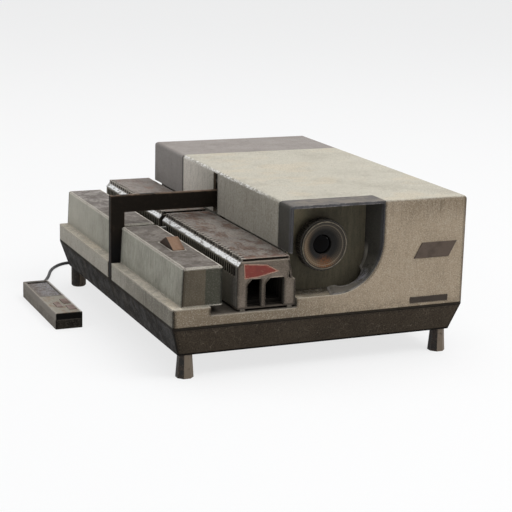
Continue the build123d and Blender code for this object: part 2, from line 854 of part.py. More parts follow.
def tray_body(label, first_slot, slots, front_wall, rear_wall, wide_front):
    """Tray body with end walls, partitions and a slot in each side wall for every slide."""
    middles = slot_middles(first_slot, slots)
    slots_low_y = middles[0] - slide_pitch / 2
    slots_high_y = middles[-1] + slide_pitch / 2
    low_y = slots_low_y - front_wall
    high_y = slots_high_y + rear_wall
    with BuildPart() as body:
        with BuildSketch(Plane.XZ.offset(-low_y)):
            with BuildLine():
                tray_section(0.0, 0.0)
            make_face()
        extrude(amount=-(high_y - low_y))
        with BuildSketch(Plane.XZ.offset(-slots_low_y)):
            with BuildLine():
                tray_section(tray_wall, tray_floor)
            make_face()
        extrude(amount=-(slots_high_y - slots_low_y), mode=Mode.SUBTRACT)
        # Partitions between the slots, open in the middle
        with BuildSketch(Plane.XZ.offset(-(middles[0] + slide_pitch / 2 - partition_thickness / 2))):
            with BuildLine():
                tray_section(tray_wall, tray_floor)
            make_face()
            with Locations(((slide_left_x + slide_right_x) / 2, floor_top_z + partition_overlap)):
                Rectangle(
                    slide_size - 2 * partition_overlap,
                    slide_size,
                    align=(Align.CENTER, Align.MIN),
                    mode=Mode.SUBTRACT,
                )
        partition = extrude(amount=-partition_thickness, mode=Mode.PRIVATE)
        add([Pos(0, index * slide_pitch, 0) * partition for index in range(slots - 1)])
        # Slots for the pusher in the left wall and for the slides in the right wall
        with BuildSketch(Plane.YZ.offset(tray_left_x - 1.0)):
            with Locations(*[(middle, blade_bottom_z + blade_height / 2) for middle in middles]):
                Rectangle(slot_window, blade_height + 2.0)
        extrude(amount=tray_wall + 2.0, mode=Mode.SUBTRACT)
        with BuildSketch(Plane.YZ.offset(tray_foot_right_x + 1.0)):
            with Locations(*[(middle, (floor_top_z + tray_lid_bottom_z) / 2) for middle in middles]):
                Rectangle(slot_window, tray_lid_bottom_z - floor_top_z)
        extrude(amount=-(tray_foot_right_x - tray_top_right_x + tray_wall + 2.0), mode=Mode.SUBTRACT)
        # End walls stand back from the gear's path
        for wall_y, depth in ((low_y, front_wall), (slots_high_y, rear_wall)):
            with BuildSketch(Plane.XZ.offset(-wall_y)):
                with Locations((tray_foot_right_x, tray_bottom_z)):
                    Rectangle(
                        end_wall_relief,
                        tray_foot_top_z - tray_bottom_z + 1.0,
                        align=(Align.MAX, Align.MIN),
                    )
            extrude(amount=-depth, mode=Mode.SUBTRACT)
        # Sloped cheek on the right of the front end
        if wide_front:
            with BuildSketch(Plane.XZ.offset(-low_y)):
                with BuildLine():
                    Polyline(
                        (tray_top_right_x - 2.0, tray_lid_bottom_z),
                        (tray_top_right_x, tray_lid_bottom_z),
                        (tray_shoulder_x, tray_shoulder_z),
                        (tray_foot_right_x, tray_foot_top_z),
                        (tray_foot_right_x, tray_bottom_z),
                        (tray_foot_right_x - end_wall_relief - 2.0, tray_bottom_z),
                        (tray_foot_right_x - end_wall_relief - 2.0, tray_foot_top_z),
                        close=True,
                    )
                make_face()
            extrude(amount=-(front_wall - 2.0))
        # Two openings in each end wall, with a sloped upper corner
        for wall_y, depth in ((low_y, front_wall), (slots_high_y, rear_wall)):
            with BuildSketch(Plane.XZ.offset(-wall_y)):
                for left, right in tray_end_openings:
                    with BuildLine():
                        Polyline(
                            (left, floor_top_z),
                            (left, tray_end_shoulder_z),
                            (left + tray_end_slope, tray_end_top_z),
                            (right, tray_end_top_z),
                            (right, floor_top_z),
                            close=True,
                        )
                    make_face()
            extrude(amount=-depth, mode=Mode.SUBTRACT)
    finish(body, label)
    return low_y, high_y


front_tray_low_y, front_tray_high_y = tray_body(
    "front_tray", front_first_slot, front_slots, 6.4, 2.4, True
)
rear_tray_low_y, rear_tray_high_y = tray_body("rear_tray", rear_first_slot, rear_slots, 4.0, 4.0, False)


# Lids: thin folded tops, slotted on the right, the front one with a toothed left edge
def tray_lid(label, low_y, high_y, middles, toothed):
    """Lid with a turned-down edge on each side."""
    with BuildPart() as lid:
        with BuildSketch(Plane.XZ.offset(-low_y)):
            with BuildLine():
                Polyline(
                    (tray_top_left_x, tray_lid_bottom_z),
                    (tray_top_left_x, tray_top_z),
                    (tray_top_right_x, tray_top_z),
                    (tray_top_right_x, tray_lid_bottom_z),
                    (tray_top_right_x - tray_wall, tray_lid_bottom_z),
                    (tray_top_right_x - tray_wall, tray_top_z - lid_thickness),
                    (tray_top_left_x + tray_wall, tray_top_z - lid_thickness),
                    (tray_top_left_x + tray_wall, tray_lid_bottom_z),
                    close=True,
                )
            make_face()
        extrude(amount=-(high_y - low_y))
        right_rim = lid.faces().sort_by(Axis.Z)[-1].edges().filter_by(Axis.Y).sort_by(Axis.X)[-1]
        chamfer(right_rim, 0.6)
        with BuildSketch(Plane.XY.offset(tray_lid_bottom_z)):
            with Locations(*[(tray_top_right_x, middle) for middle in middles]):
                Rectangle(2 * tray_wall, slot_window)
        extrude(amount=tray_top_z - lid_thickness - tray_lid_bottom_z, mode=Mode.SUBTRACT)
        if toothed:
            with BuildSketch(Plane.XY.offset(tray_lid_bottom_z)):
                with Locations(*[(tray_top_left_x, middle) for middle in middles]):
                    Rectangle(2 * tray_wall, slide_pitch / 2)
            extrude(amount=tray_top_z - tray_lid_bottom_z, mode=Mode.SUBTRACT)
    finish(lid, label)


tray_lid("front_tray_lid", front_tray_low_y, front_tray_high_y,
         slot_middles(front_first_slot, front_slots), True)
tray_lid("rear_tray_lid", rear_tray_low_y, rear_tray_high_y,
         slot_middles(rear_first_slot, rear_slots), False)

# Bright strips on the bevel of both trays
bevel_length = math.hypot(tray_top_left_x - tray_left_x, tray_lid_bottom_z - tray_bevel_z)
bevel_out_x = -(tray_lid_bottom_z - tray_bevel_z) / bevel_length
bevel_out_z = (tray_top_left_x - tray_left_x) / bevel_length
with BuildPart() as tray_strips:
    for low_y, high_y in ((front_tray_low_y, front_tray_high_y), (rear_tray_low_y, rear_tray_high_y)):
        with BuildSketch(Plane.XZ.offset(-low_y)):
            with BuildLine():
                Polyline(
                    (tray_left_x, tray_bevel_z),
                    (tray_left_x + strip_thickness * bevel_out_x, tray_bevel_z + strip_thickness * bevel_out_z),
                    (tray_top_left_x + strip_thickness * bevel_out_x,
                     tray_lid_bottom_z + strip_thickness * bevel_out_z - 0.3),
                    (tray_top_left_x, tray_lid_bottom_z),
                    close=True,
                )
            make_face()
        extrude(amount=-(high_y - low_y))
finish(tray_strips, "tray_strips")

# Coupling between the trays: a tongue and a slotted bridge that carries the gear across the gap
bridge_low_y = slot_middles(front_first_slot, front_slots)[-1] + slide_pitch / 2
bridge_high_y = slot_middles(rear_first_slot, rear_slots)[0] - slide_pitch / 2
with BuildPart() as tray_coupling:
    with BuildSketch(Plane.XY.offset(blade_bottom_z)):
        with Locations(((slide_left_x + slide_right_x) / 2, (front_tray_high_y + rear_tray_low_y) / 2)):
            Rectangle(coupling_tongue_width, rear_tray_low_y - front_tray_high_y)
    extrude(amount=coupling_tongue_height)
    with BuildSketch(Plane.XY.offset(gear_bottom_z - 4.0)):
        with Locations((tray_foot_right_x - end_wall_relief / 2, (bridge_low_y + bridge_high_y) / 2)):
            Rectangle(end_wall_relief, bridge_high_y - bridge_low_y)
        gap_slots = slot_middles(front_first_slot + front_slots, rear_first_slot - front_first_slot - front_slots)
        with Locations(*[(tray_foot_right_x, middle) for middle in gap_slots]):
            Rectangle(2 * end_wall_relief - 1.0, slot_window, mode=Mode.SUBTRACT)
    extrude(amount=gear_width + 8.0)
finish(tray_coupling, "tray_coupling")

with BuildPart() as tray_label:
    with BuildSketch(Plane.XZ.offset(-front_tray_low_y)):
        with BuildLine():
            Polyline(
                (tray_left_x + 6.6, 117.2),
                (tray_left_x + 31.8, 115.0),
                (tray_left_x + 45.2, 107.4),
                (tray_left_x + 22.3, 102.4),
                (tray_left_x + 7.6, 101.4),
                close=True,
            )
        make_face()
    extrude(amount=0.5)
finish(tray_label, "tray_label")


# Feed gear on an upright shaft, and the motor below it
with BuildPart() as feed_gear:
    with BuildSketch(Plane.XY.offset(gear_bottom_z)):
        with Locations((gear_x, gear_y)):
            Circle(gear_pitch_radius - gear_dedendum)
        pitch_half = (slot_window - gear_backlash) / 2
        root_half = pitch_half + 0.5
        for index in range(gear_teeth):
            turn = math.pi + 2 * math.pi * index / gear_teeth
            corners = []
            for radius, half in (
                (gear_pitch_radius - gear_dedendum - 0.3, root_half),
                (gear_pitch_radius, pitch_half),
                (gear_pitch_radius + gear_addendum, gear_tip_half),
                (gear_pitch_radius + gear_addendum, -gear_tip_half),
                (gear_pitch_radius, -pitch_half),
                (gear_pitch_radius - gear_dedendum - 0.3, -root_half),
            ):
                corners.append((
                    gear_x + radius * math.cos(turn) - half * math.sin(turn),
                    gear_y + radius * math.sin(turn) + half * math.cos(turn),
                ))
            with BuildLine():
                Polyline(*corners, close=True)
            make_face()
        with Locations((gear_x, gear_y)):
            with PolarLocations(10.5, 5):
                Circle(3.2, mode=Mode.SUBTRACT)
    extrude(amount=gear_width)
    with BuildSketch(Plane.XY.offset(gear_bottom_z - 9.0)):
        with Locations((gear_x, gear_y)):
            Circle(gear_shaft_radius)
    extrude(amount=gear_width + 12.0)
finish(feed_gear, "feed_gear")

motor_top_z = gear_bottom_z - motor_gap
with BuildPart() as feed_motor:
    with BuildSketch(Plane.XY.offset(chassis_top_z)):
        with Locations((gear_x + 2.0, gear_y)):
            SlotOverall(2 * motor_radius + 14.0, 12.0)
    extrude(amount=2.0)
    with BuildSketch(Plane.XY.offset(chassis_top_z)):
        with Locations((gear_x + 2.0, gear_y)):
            Circle(motor_radius)
    extrude(amount=motor_top_z - chassis_top_z)
    chamfer(feed_motor.faces().sort_by(Axis.Z)[-1].edges(), 1.2)
    with BuildSketch(Plane.XY.offset(motor_top_z)):
        with Locations((gear_x, gear_y)):
            Circle(gear_shaft_radius + running_clearance)
    extrude(amount=-(9.0 - motor_gap), mode=Mode.SUBTRACT)
finish(feed_motor, "feed_motor")


# Changer arm: flat leg and beam
with BuildPart() as changer_arm:
    with BuildSketch(Plane.XZ.offset(-arm_thickness / 2 + arm_thickness)):
        with BuildLine():
            Polyline(
                (left_x, arm_foot_z),
                (left_x, arm_beam_top_z),
                (arm_inner_x, arm_beam_top_z),
                (arm_inner_x, arm_beam_bottom_z),
                (left_x + arm_leg_width, arm_beam_bottom_z),
                (left_x + arm_leg_width, arm_foot_z),
                close=True,
            )
        make_face()
    extrude(amount=-arm_thickness)
    long_edges = changer_arm.edges().filter_by(Axis.X).filter_by(lambda e: e.center().Z > arm_beam_bottom_z - 1.0)
    chamfer(long_edges, 0.6)
finish(changer_arm, "changer_arm")

blade_tip_x = tray_left_x - blade_tip_gap
with BuildPart() as pusher_blade:
    with BuildSketch(Plane.XZ.offset(blade_thickness / 2)):
        with Locations(((left_x + arm_leg_width + blade_tip_x) / 2, blade_bottom_z + blade_height / 2)):
            Rectangle(blade_tip_x - left_x - arm_leg_width, blade_height)
    extrude(amount=-blade_thickness)
    tip_edges = pusher_blade.edges().filter_by(Axis.Y).sort_by(Axis.X)[-2:]
    chamfer(tip_edges, 1.2)
finish(pusher_blade, "pusher_blade")

with BuildPart() as arm_carriage:
    with BuildSketch(Plane.YZ.offset(arm_inner_x - carriage_length)):
        with Locations((0, (arm_beam_top_z + carriage_top_z) / 2)):
            RectangleRounded(carriage_width, carriage_top_z - arm_beam_top_z, 1.5)
        with Locations((0, rod_z)):
            Circle(rod_radius + running_clearance, mode=Mode.SUBTRACT)
    extrude(amount=carriage_length)
finish(arm_carriage, "arm_carriage")

with BuildPart() as guide_rod:
    with BuildSketch(Plane.YZ.offset(housing_left_x + wall)):
        with Locations((0, rod_z)):
            Circle(rod_radius)
    extrude(amount=rod_bracket_x - housing_left_x - wall)
finish(guide_rod, "guide_rod")

with BuildPart() as rod_bracket:
    with BuildSketch(Plane.YZ.offset(rod_bracket_x - 3.0)):
        with Locations((0, (chassis_top_z + rod_z + 8.0) / 2)):
            Rectangle(20.0, rod_z + 8.0 - chassis_top_z)
        with Locations((0, rod_z)):
            Circle(rod_radius, mode=Mode.SUBTRACT)
    extrude(amount=3.0)
    with BuildSketch(Plane.XY.offset(chassis_top_z)):
        with Locations((rod_bracket_x + 6.0, 0)):
            Rectangle(12.0, 20.0)
    extrude(amount=3.0)
finish(rod_bracket, "rod_bracket")


# Chassis plate on the base bosses
with BuildPart() as chassis_plate:
    with BuildSketch(Plane.XY.offset(chassis_z)):
        with Locations(((lower_left_x + wall + right_x - wall) / 2, 0)):
            RectangleRounded(right_x - lower_left_x - 2 * wall - 4.0, body_depth - 24.0, 4.0)
        with Locations((air_slots_x, air_slots_rear_y), (air_slots_x, air_slots_front_y)):
            with GridLocations(14.0, 1.0, 5, 1):
                Rectangle(7.0, 50.0, mode=Mode.SUBTRACT)
        with Locations(*boss_places):
            Circle(1.7, mode=Mode.SUBTRACT)
    extrude(amount=chassis_thickness)
finish(chassis_plate, "chassis_plate")


# Slide gate: two plates with a square window, standing on the chassis
with BuildPart() as slide_gate:
    with BuildSketch(Plane.XZ.offset(-(gate_y - gate_gap / 2 - gate_plate))):
        with Locations((axis_x, (chassis_top_z + gate_top_z) / 2)):
            Rectangle(gate_width, gate_top_z - chassis_top_z)
    extrude(amount=-(gate_gap + 2 * gate_plate))
    slide_bottom_z = axis_z - slide_size / 2
    with BuildSketch(Plane.XZ.offset(-(gate_y - gate_gap / 2))):
        with Locations((axis_x, (slide_bottom_z + gate_top_z + 1.0) / 2)):
            Rectangle(gate_width + 1.0, gate_top_z + 1.0 - slide_bottom_z)
    extrude(amount=-gate_gap, mode=Mode.SUBTRACT)
    with BuildSketch(Plane.XZ.offset(-(gate_y - gate_gap / 2 - gate_plate))):
        with Locations((axis_x, axis_z)):
            RectangleRounded(gate_aperture, gate_aperture, 2.0)
        with Locations((axis_x, (chassis_top_z + slide_bottom_z) / 2)):
            RectangleRounded(gate_width - 20.0, slide_bottom_z - chassis_top_z - 14.0, 4.0)
    extrude(amount=-(gate_gap + 2 * gate_plate), mode=Mode.SUBTRACT)
finish(slide_gate, "slide_gate")


# Condenser: tube on a pedestal with two plano-convex lenses and a flat heat filter
with BuildPart() as condenser_holder:
    with BuildSketch(Plane.XZ.offset(-condenser_front_y)):
        with Locations((axis_x, axis_z)):
            Circle(condenser_radius + condenser_tube_wall)
    extrude(amount=-(condenser_rear_y - condenser_front_y))
    with BuildSketch(Plane.XY.offset(chassis_top_z)):
        with Locations((axis_x, (condenser_front_y + condenser_rear_y) / 2)):
            Rectangle(30.0, condenser_rear_y - condenser_front_y)
    extrude(amount=axis_z - condenser_radius - chassis_top_z)
    with BuildSketch(Plane.XZ.offset(-condenser_front_y)):
        with Locations((axis_x, axis_z)):
            Circle(condenser_radius)
    extrude(amount=-(condenser_rear_y - condenser_front_y), mode=Mode.SUBTRACT)
finish(condenser_holder, "condenser_holder")

with BuildPart() as condenser_lenses:
    for flat_y, toward in ((condenser_front_y + 2.0, 1), (condenser_rear_y - 4.0, -1)):
        with BuildSketch(Plane.XZ.offset(-flat_y)):
            with Locations((axis_x, axis_z)):
                Circle(condenser_radius)
        extrude(amount=-toward * 12.0)
    domes = condenser_lenses.edges().filter_by(GeomType.CIRCLE).filter_by(
        lambda e: condenser_front_y + 10.0 < e.center().Y < condenser_rear_y - 12.0
    )
    chamfer(domes, condenser_dome)
    with BuildSketch(Plane.XZ.offset(-((condenser_front_y + condenser_rear_y) / 2 - 1.5))):
        with Locations((axis_x, axis_z)):
            Circle(condenser_radius)
    extrude(amount=-3.0)
finish(condenser_lenses, "condenser_lenses")


# Lamp house: folded sheet with louvres, open at the top, its socket shelf and the reflector
house_x = (lamp_house_left_x + lamp_house_right_x) / 2
house_width = lamp_house_right_x - lamp_house_left_x
house_y = (lamp_house_front_y + lamp_house_rear_y) / 2
house_depth = lamp_house_rear_y - lamp_house_front_y
with BuildPart() as lamp_house:
    with BuildSketch(Plane.XY.offset(chassis_top_z)):
        with Locations((house_x, house_y)):
            Rectangle(house_width, house_depth)
            Rectangle(house_width - 2 * sheet, house_depth - 2 * sheet, mode=Mode.SUBTRACT)
    extrude(amount=lamp_house_top_z - chassis_top_z)
    with BuildSketch(Plane.XY.offset(socket_shelf_z)):
        with Locations((house_x, house_y)):
            Rectangle(house_width - 2 * sheet, house_depth - 2 * sheet)
        with Locations((axis_x + 20.0, lamp_y), (axis_x - 18.0, lamp_y)):
            Rectangle(9.0, 40.0, mode=Mode.SUBTRACT)
    extrude(amount=sheet)
    with BuildSketch(Plane.XZ.offset(-lamp_house_front_y)):
        with Locations((axis_x, axis_z)):
            Circle(condenser_radius)
    extrude(amount=-sheet, mode=Mode.SUBTRACT)
    with BuildSketch(Plane.YZ.offset(lamp_house_left_x)):
        with Locations((house_y, axis_z + 4.0)):
            with GridLocations(1.0, 9.0, 1, 6):
                Rectangle(50.0, 3.6)
    extrude(amount=house_width, mode=Mode.SUBTRACT)
finish(lamp_house, "lamp_house")

with BuildPart() as lamp_socket:
    with BuildSketch(Plane.XY.offset(socket_shelf_z + sheet)):
        with Locations((axis_x, lamp_y)):
            RectangleRounded(24.0, 14.0, 2.0)
    extrude(amount=socket_top_z - socket_shelf_z - sheet)
    with BuildSketch(Plane.XY.offset(socket_top_z)):
        with Locations((axis_x - lamp_pin_offset, lamp_y), (axis_x + lamp_pin_offset, lamp_y)):
            Circle(lamp_pin_radius)
    extrude(amount=-8.0, mode=Mode.SUBTRACT)
finish(lamp_socket, "lamp_socket")

with BuildPart() as lamp:
    with BuildSketch(Plane.XY.offset(socket_top_z)):
        with Locations((axis_x, lamp_y)):
            Rectangle(12.0, 5.0)
    extrude(amount=8.0)
    with BuildSketch(Plane.XY.offset(socket_top_z + 8.0)):
        with Locations((axis_x, lamp_y)):
            Circle(lamp_radius)
    extrude(amount=lamp_height)
    chamfer(lamp.faces().sort_by(Axis.Z)[-1].edges(), lamp_radius * 0.6)
    with BuildSketch(Plane.XY.offset(socket_top_z)):
        with Locations((axis_x - lamp_pin_offset, lamp_y), (axis_x + lamp_pin_offset, lamp_y)):
            Circle(lamp_pin_radius)
    extrude(amount=-8.0)
finish(lamp, "lamp")

reflector_back_y = lamp_house_rear_y - sheet
with BuildPart() as lamp_reflector:
    with BuildSketch(Plane.XZ.offset(-reflector_back_y)):
        with Locations((axis_x, axis_z)):
            Circle(reflector_radius + 2.0)
    extrude(amount=reflector_depth + 3.0)
    with BuildSketch(Plane.XZ.offset(-(reflector_back_y - 3.0))):
        with Locations((axis_x, axis_z)):
            Circle(reflector_bottom_radius)
    with BuildSketch(Plane.XZ.offset(-(reflector_back_y - 3.0 - reflector_depth))):
        with Locations((axis_x, axis_z)):
            Circle(reflector_radius)
    loft(mode=Mode.SUBTRACT)
finish(lamp_reflector, "lamp_reflector")


# Fan: square frame with struts, motor and a seven-bladed wheel that turns about X
fan_z = chassis_top_z + fan_size / 2
with BuildPart() as fan_housing:
    with BuildSketch(Plane.YZ.offset(fan_x)):
        with Locations((fan_y, fan_z)):
            RectangleRounded(fan_size, fan_size, 5.0)
            Circle(fan_bore_radius, mode=Mode.SUBTRACT)
    extrude(amount=fan_depth)
    with BuildSketch(Plane.YZ.offset(fan_x)):
        with Locations((fan_y, fan_z)):
            Circle(fan_motor_radius + 2.0)
            with PolarLocations((fan_bore_radius + fan_motor_radius) / 2, 4, start_angle=45):
                Rectangle(fan_bore_radius - fan_motor_radius + 2.0, 4.0)
    extrude(amount=fan_strut)
finish(fan_housing, "fan_housing")

with BuildPart() as fan_motor:
    with BuildSketch(Plane.YZ.offset(fan_x + fan_strut)):
        with Locations((fan_y, fan_z)):
            Circle(fan_motor_radius)
    extrude(amount=motor_depth)
    with BuildSketch(Plane.YZ.offset(fan_x + fan_strut + motor_depth)):
        with Locations((fan_y, fan_z)):
            Circle(2.0 + running_clearance)
    extrude(amount=-6.0, mode=Mode.SUBTRACT)
finish(fan_motor, "fan_motor")

wheel_x = fan_x + fan_strut + motor_depth + 0.6
with BuildPart() as fan_wheel:
    with BuildSketch(Plane.YZ.offset(wheel_x)):
        with Locations((fan_y, fan_z)):
            Circle(hub_radius)
    extrude(amount=wheel_depth)
    chamfer(fan_wheel.faces().sort_by(Axis.X)[-1].edges(), 2.0)
    with BuildSketch(Plane.YZ.offset(wheel_x)):
        with Locations((fan_y, fan_z)):
            Circle(2.0)
    extrude(amount=-5.6)
    for index in range(fan_blades):
        blade_plane = Plane(
            origin=(wheel_x + wheel_depth / 2, fan_y, fan_z),
            x_dir=(1, 0, 0),
            z_dir=(0, math.cos(2 * math.pi * index / fan_blades), math.sin(2 * math.pi * index / fan_blades)),
        )
        with BuildSketch(blade_plane.offset(hub_radius - 2.0)):
            Rectangle(wheel_depth + 2.0, fan_blade_thickness, rotation=blade_pitch_angle)
        extrude(amount=fan_bore_radius - hub_radius + 0.5)
finish(fan_wheel, "fan_wheel")


# Transformer: laminated core with a coil round its middle leg
with BuildPart() as transformer_core:
    with BuildSketch(Plane.XZ.offset(-(core_y - core_depth / 2))):
        with Locations((core_x, chassis_top_z + core_height / 2)):
            Rectangle(core_width, core_height)
        for side in (-1, 1):
            with Locations((core_x + side * (core_width / 4 - 0.5), chassis_top_z + core_height / 2)):
                Rectangle(core_width / 2 - leg - 3.0, core_height - 2 * leg, mode=Mode.SUBTRACT)
    extrude(amount=-core_depth)
finish(transformer_core, "transformer_core")

coil_half = core_width / 2 - leg - 3.0
with BuildPart() as transformer_coil:
    with BuildSketch(Plane.XY.offset(chassis_top_z + leg)):
        with Locations((core_x, core_y)):
            RectangleRounded(2 * coil_half + 15.0, core_depth + 22.0, 8.0)
    extrude(amount=core_height - 2 * leg)
    with BuildSketch(Plane.XZ.offset(-(core_y - core_depth / 2))):
        with Locations((core_x, chassis_top_z + core_height / 2)):
            Rectangle(core_width, core_height)
        for side in (-1, 1):
            with Locations((core_x + side * (core_width / 4 - 0.5), chassis_top_z + core_height / 2)):
                Rectangle(core_width / 2 - leg - 3.0, core_height - 2 * leg, mode=Mode.SUBTRACT)
    extrude(amount=-core_depth, mode=Mode.SUBTRACT)
finish(transformer_coil, "transformer_coil")


# Circuit board on four pillars
board_z = chassis_top_z + board_gap
with BuildPart() as circuit_board:
    with BuildSketch(Plane.XY.offset(board_z)):
        with Locations((board_x, board_y)):
            Rectangle(board_width, board_length)
    extrude(amount=board_thickness)
    with BuildSketch(Plane.XY.offset(chassis_top_z)):
        with Locations((board_x, board_y)):
            with GridLocations(board_width - 10.0, board_length - 10.0, 2, 2):
                Circle(3.0)
    extrude(amount=board_z - chassis_top_z)
    with BuildSketch(Plane.XY.offset(board_z + board_thickness)):
        with Locations((board_x - 20.0, board_y + 25.0), (board_x + 4.0, board_y + 30.0)):
            Circle(8.0)
    extrude(amount=24.0)
    with BuildSketch(Plane.XY.offset(board_z + board_thickness)):
        with Locations((board_x + 20.0, board_y - 20.0)):
            with GridLocations(1.0, 7.0, 1, 5):
                Rectangle(26.0, 2.0)
        with Locations((board_x - 22.0, board_y - 22.0)):
            Rectangle(26.0, 16.0)
    extrude(amount=18.0)
finish(circuit_board, "circuit_board")


# Rear cover: cap over the lamp, vented behind, hinged along its lower rear edge
cover_low_y = seam_y + seam_gap
with BuildPart() as rear_cover:
    with BuildSketch(Plane.XY.offset(cover_bottom_z)):
        RectangleRounded(body_width, body_depth, corner_radius)
        with Locations(((lower_left_x + right_x) / 2, (cover_low_y + rear_y) / 2)):
            Rectangle(right_x - lower_left_x, rear_y - cover_low_y, mode=Mode.INTERSECT)
    extrude(amount=undercut_z - cover_bottom_z)
    with BuildSketch(Plane.XY.offset(undercut_z)):
        RectangleRounded(body_width, body_depth, corner_radius)
        with Locations(((housing_left_x + right_x) / 2, (cover_low_y + rear_y) / 2)):
            Rectangle(housing_width, rear_y - cover_low_y, mode=Mode.INTERSECT)
    extrude(amount=top_z - undercut_z)
    cover_edges = (
        rear_cover.faces()
        .sort_by(Axis.Z)[-1]
        .edges()
        .filter_by(lambda e: e.center().Y > cover_low_y + 1.0)
    )
    fillet(cover_edges, top_edge_radius)
    with BuildSketch(Plane.XY.offset(cover_bottom_z)):
        with Locations(((lower_left_x + right_x) / 2, (cover_low_y + rear_y - wall) / 2)):
            Rectangle(right_x - lower_left_x - 2 * wall, rear_y - wall - cover_low_y)
    extrude(amount=undercut_z + wall - cover_bottom_z, mode=Mode.SUBTRACT)
    with BuildSketch(Plane.XY.offset(undercut_z + wall)):
        with Locations(((housing_left_x + right_x) / 2, (cover_low_y + rear_y - wall) / 2)):
            Rectangle(housing_width - 2 * wall, rear_y - wall - cover_low_y)
    extrude(amount=top_z - undercut_z - 2 * wall, mode=Mode.SUBTRACT)
    # Relief under the rear wall, which dips as the cover opens
    with BuildSketch(Plane.XY.offset(cover_bottom_z)):
        with Locations(((lower_left_x + right_x) / 2, rear_y)):
            Rectangle(right_x - lower_left_x, 2 * (rear_y - hinge_y + knuckle_radius))
    extrude(amount=heel_relief, mode=Mode.SUBTRACT)
    # Air slots in the rear wall
    with BuildSketch(Plane.XZ.offset(-rear_y)):
        with Locations((axis_x + 60.0, 130.0)):
            with GridLocations(1.0, 8.0, 1, 8):
                Rectangle(120.0, 3.6)
    extrude(amount=wall, mode=Mode.SUBTRACT)
    # Knuckles, and notches that clear the housing's ears
    for place in hinge_places:
        with BuildSketch(Plane.YZ.offset(place - knuckle_length / 2 - 2 * ear_gap - ear_thickness)):
            with Locations((hinge_y, hinge_z - 4.0)):
                Rectangle(2 * knuckle_radius + 10.0, 2 * (knuckle_radius + 4.6))
        extrude(amount=knuckle_length + 4 * ear_gap + 2 * ear_thickness, mode=Mode.SUBTRACT)
        with BuildSketch(Plane.YZ.offset(place - knuckle_length / 2)):
            with Locations((hinge_y, hinge_z)):
                Circle(knuckle_radius)
            with Locations((rear_y - wall / 2, hinge_z + 3.0)):
                Rectangle(wall, 6.0)
            with Locations((hinge_y, hinge_z)):
                Circle(hinge_pin_radius + running_clearance, mode=Mode.SUBTRACT)
        extrude(amount=knuckle_length)
finish(rear_cover, "rear_cover")

with BuildPart() as hinge_pins:
    for place in hinge_places:
        with BuildSketch(Plane.YZ.offset(place - knuckle_length / 2 - ear_gap - ear_thickness)):
            with Locations((hinge_y, hinge_z)):
                Circle(hinge_pin_radius)
        extrude(amount=knuckle_length + 2 * ear_gap + 2 * ear_thickness)
finish(hinge_pins, "hinge_pins")


# Mains inlet: recessed shell with three flat pins
inlet_face_y = rear_y - (parting_z - inlet_z) * slope + 1.0
with BuildPart() as mains_inlet:
    with BuildSketch(Plane.XZ.offset(-(inlet_face_y + 1.5))):
        with Locations((inlet_x, inlet_z)):
            Rectangle(inlet_width + 2 * inlet_flange, inlet_height + 2 * inlet_flange)
    extrude(amount=3.5)
    with BuildSketch(Plane.XZ.offset(-(inlet_face_y + 1.5))):
        with Locations((inlet_x, inlet_z)):
            Rectangle(inlet_width, inlet_height)
    extrude(amount=18.0)
    with BuildSketch(Plane.XZ.offset(-(inlet_face_y + 1.5))):
        with Locations((inlet_x, inlet_z)):
            RectangleRounded(inlet_width - 4.0, inlet_height - 4.0, 2.0)
    extrude(amount=14.5, mode=Mode.SUBTRACT)
    with BuildSketch(Plane.XZ.offset(-(inlet_face_y - 13.0))):
        with Locations((inlet_x - 7.0, inlet_z - 2.0), (inlet_x + 7.0, inlet_z - 2.0), (inlet_x, inlet_z + 4.0)):
            Rectangle(2.0, 4.0)
    extrude(amount=-8.0)
finish(mains_inlet, "mains_inlet")


# Cord gland with a tapered sleeve
gland_wall_y = rear_y - (parting_z - gland_z) * slope
with BuildPart() as cord_gland:
    with BuildSketch(Plane.XZ.offset(-(gland_wall_y - 6.0))):
        with Locations((gland_x, gland_z)):
            Circle(gland_radius - 1.6)
    extrude(amount=-8.5)
    with BuildSketch(Plane.XZ.offset(-(gland_wall_y + 2.0))):
        with Locations((gland_x, gland_z)):
            Circle(gland_radius)
    with BuildSketch(Plane.XZ.offset(-(gland_wall_y + gland_length))):
        with Locations((gland_x, gland_z)):
            Circle(cord_diameter / 2 + 0.8)
    loft()
finish(cord_gland, "cord_gland")


# Remote cord: straight runs joined by arcs as large as the runs allow
cord_points = [
    (gland_x, gland_wall_y + gland_length, gland_z),
    (left_x + 64.0, 234.5, 38.0),
    (left_x + 64.0, 253.0, 27.0),
    (left_x + 63.5, 268.0, 12.5),
    (left_x + 60.5, 282.5, 4.5),
    (left_x + 46.5, 294.5, 2.2),
    (left_x + 28.0, 293.5, 2.2),
    (left_x + 12.0, 277.0, 2.2),
    (left_x + 1.5, 258.0, 2.2),
    (left_x - 6.0, 236.5, 2.2),
    (left_x - 15.0, 215.5, 2.4),
    (left_x - 23.5, 198.0, 4.4),
    (left_x - 32.0, 185.0, 8.6),
    (left_x - 32.0, 169.0, 8.6),
]


def corner_radii(points):
    """Largest arc at each corner: 0.45 of the shorter run over the tangent of half the turn."""
    radii = []
    for before, here, after in zip(points, points[1:], points[2:]):
        run_in = Vector(here) - Vector(before)
        run_out = Vector(after) - Vector(here)
        half_turn = math.radians(run_in.get_angle(run_out)) / 2
        radii.append(0.45 * min(run_in.length, run_out.length) / math.tan(half_turn))
    return radii


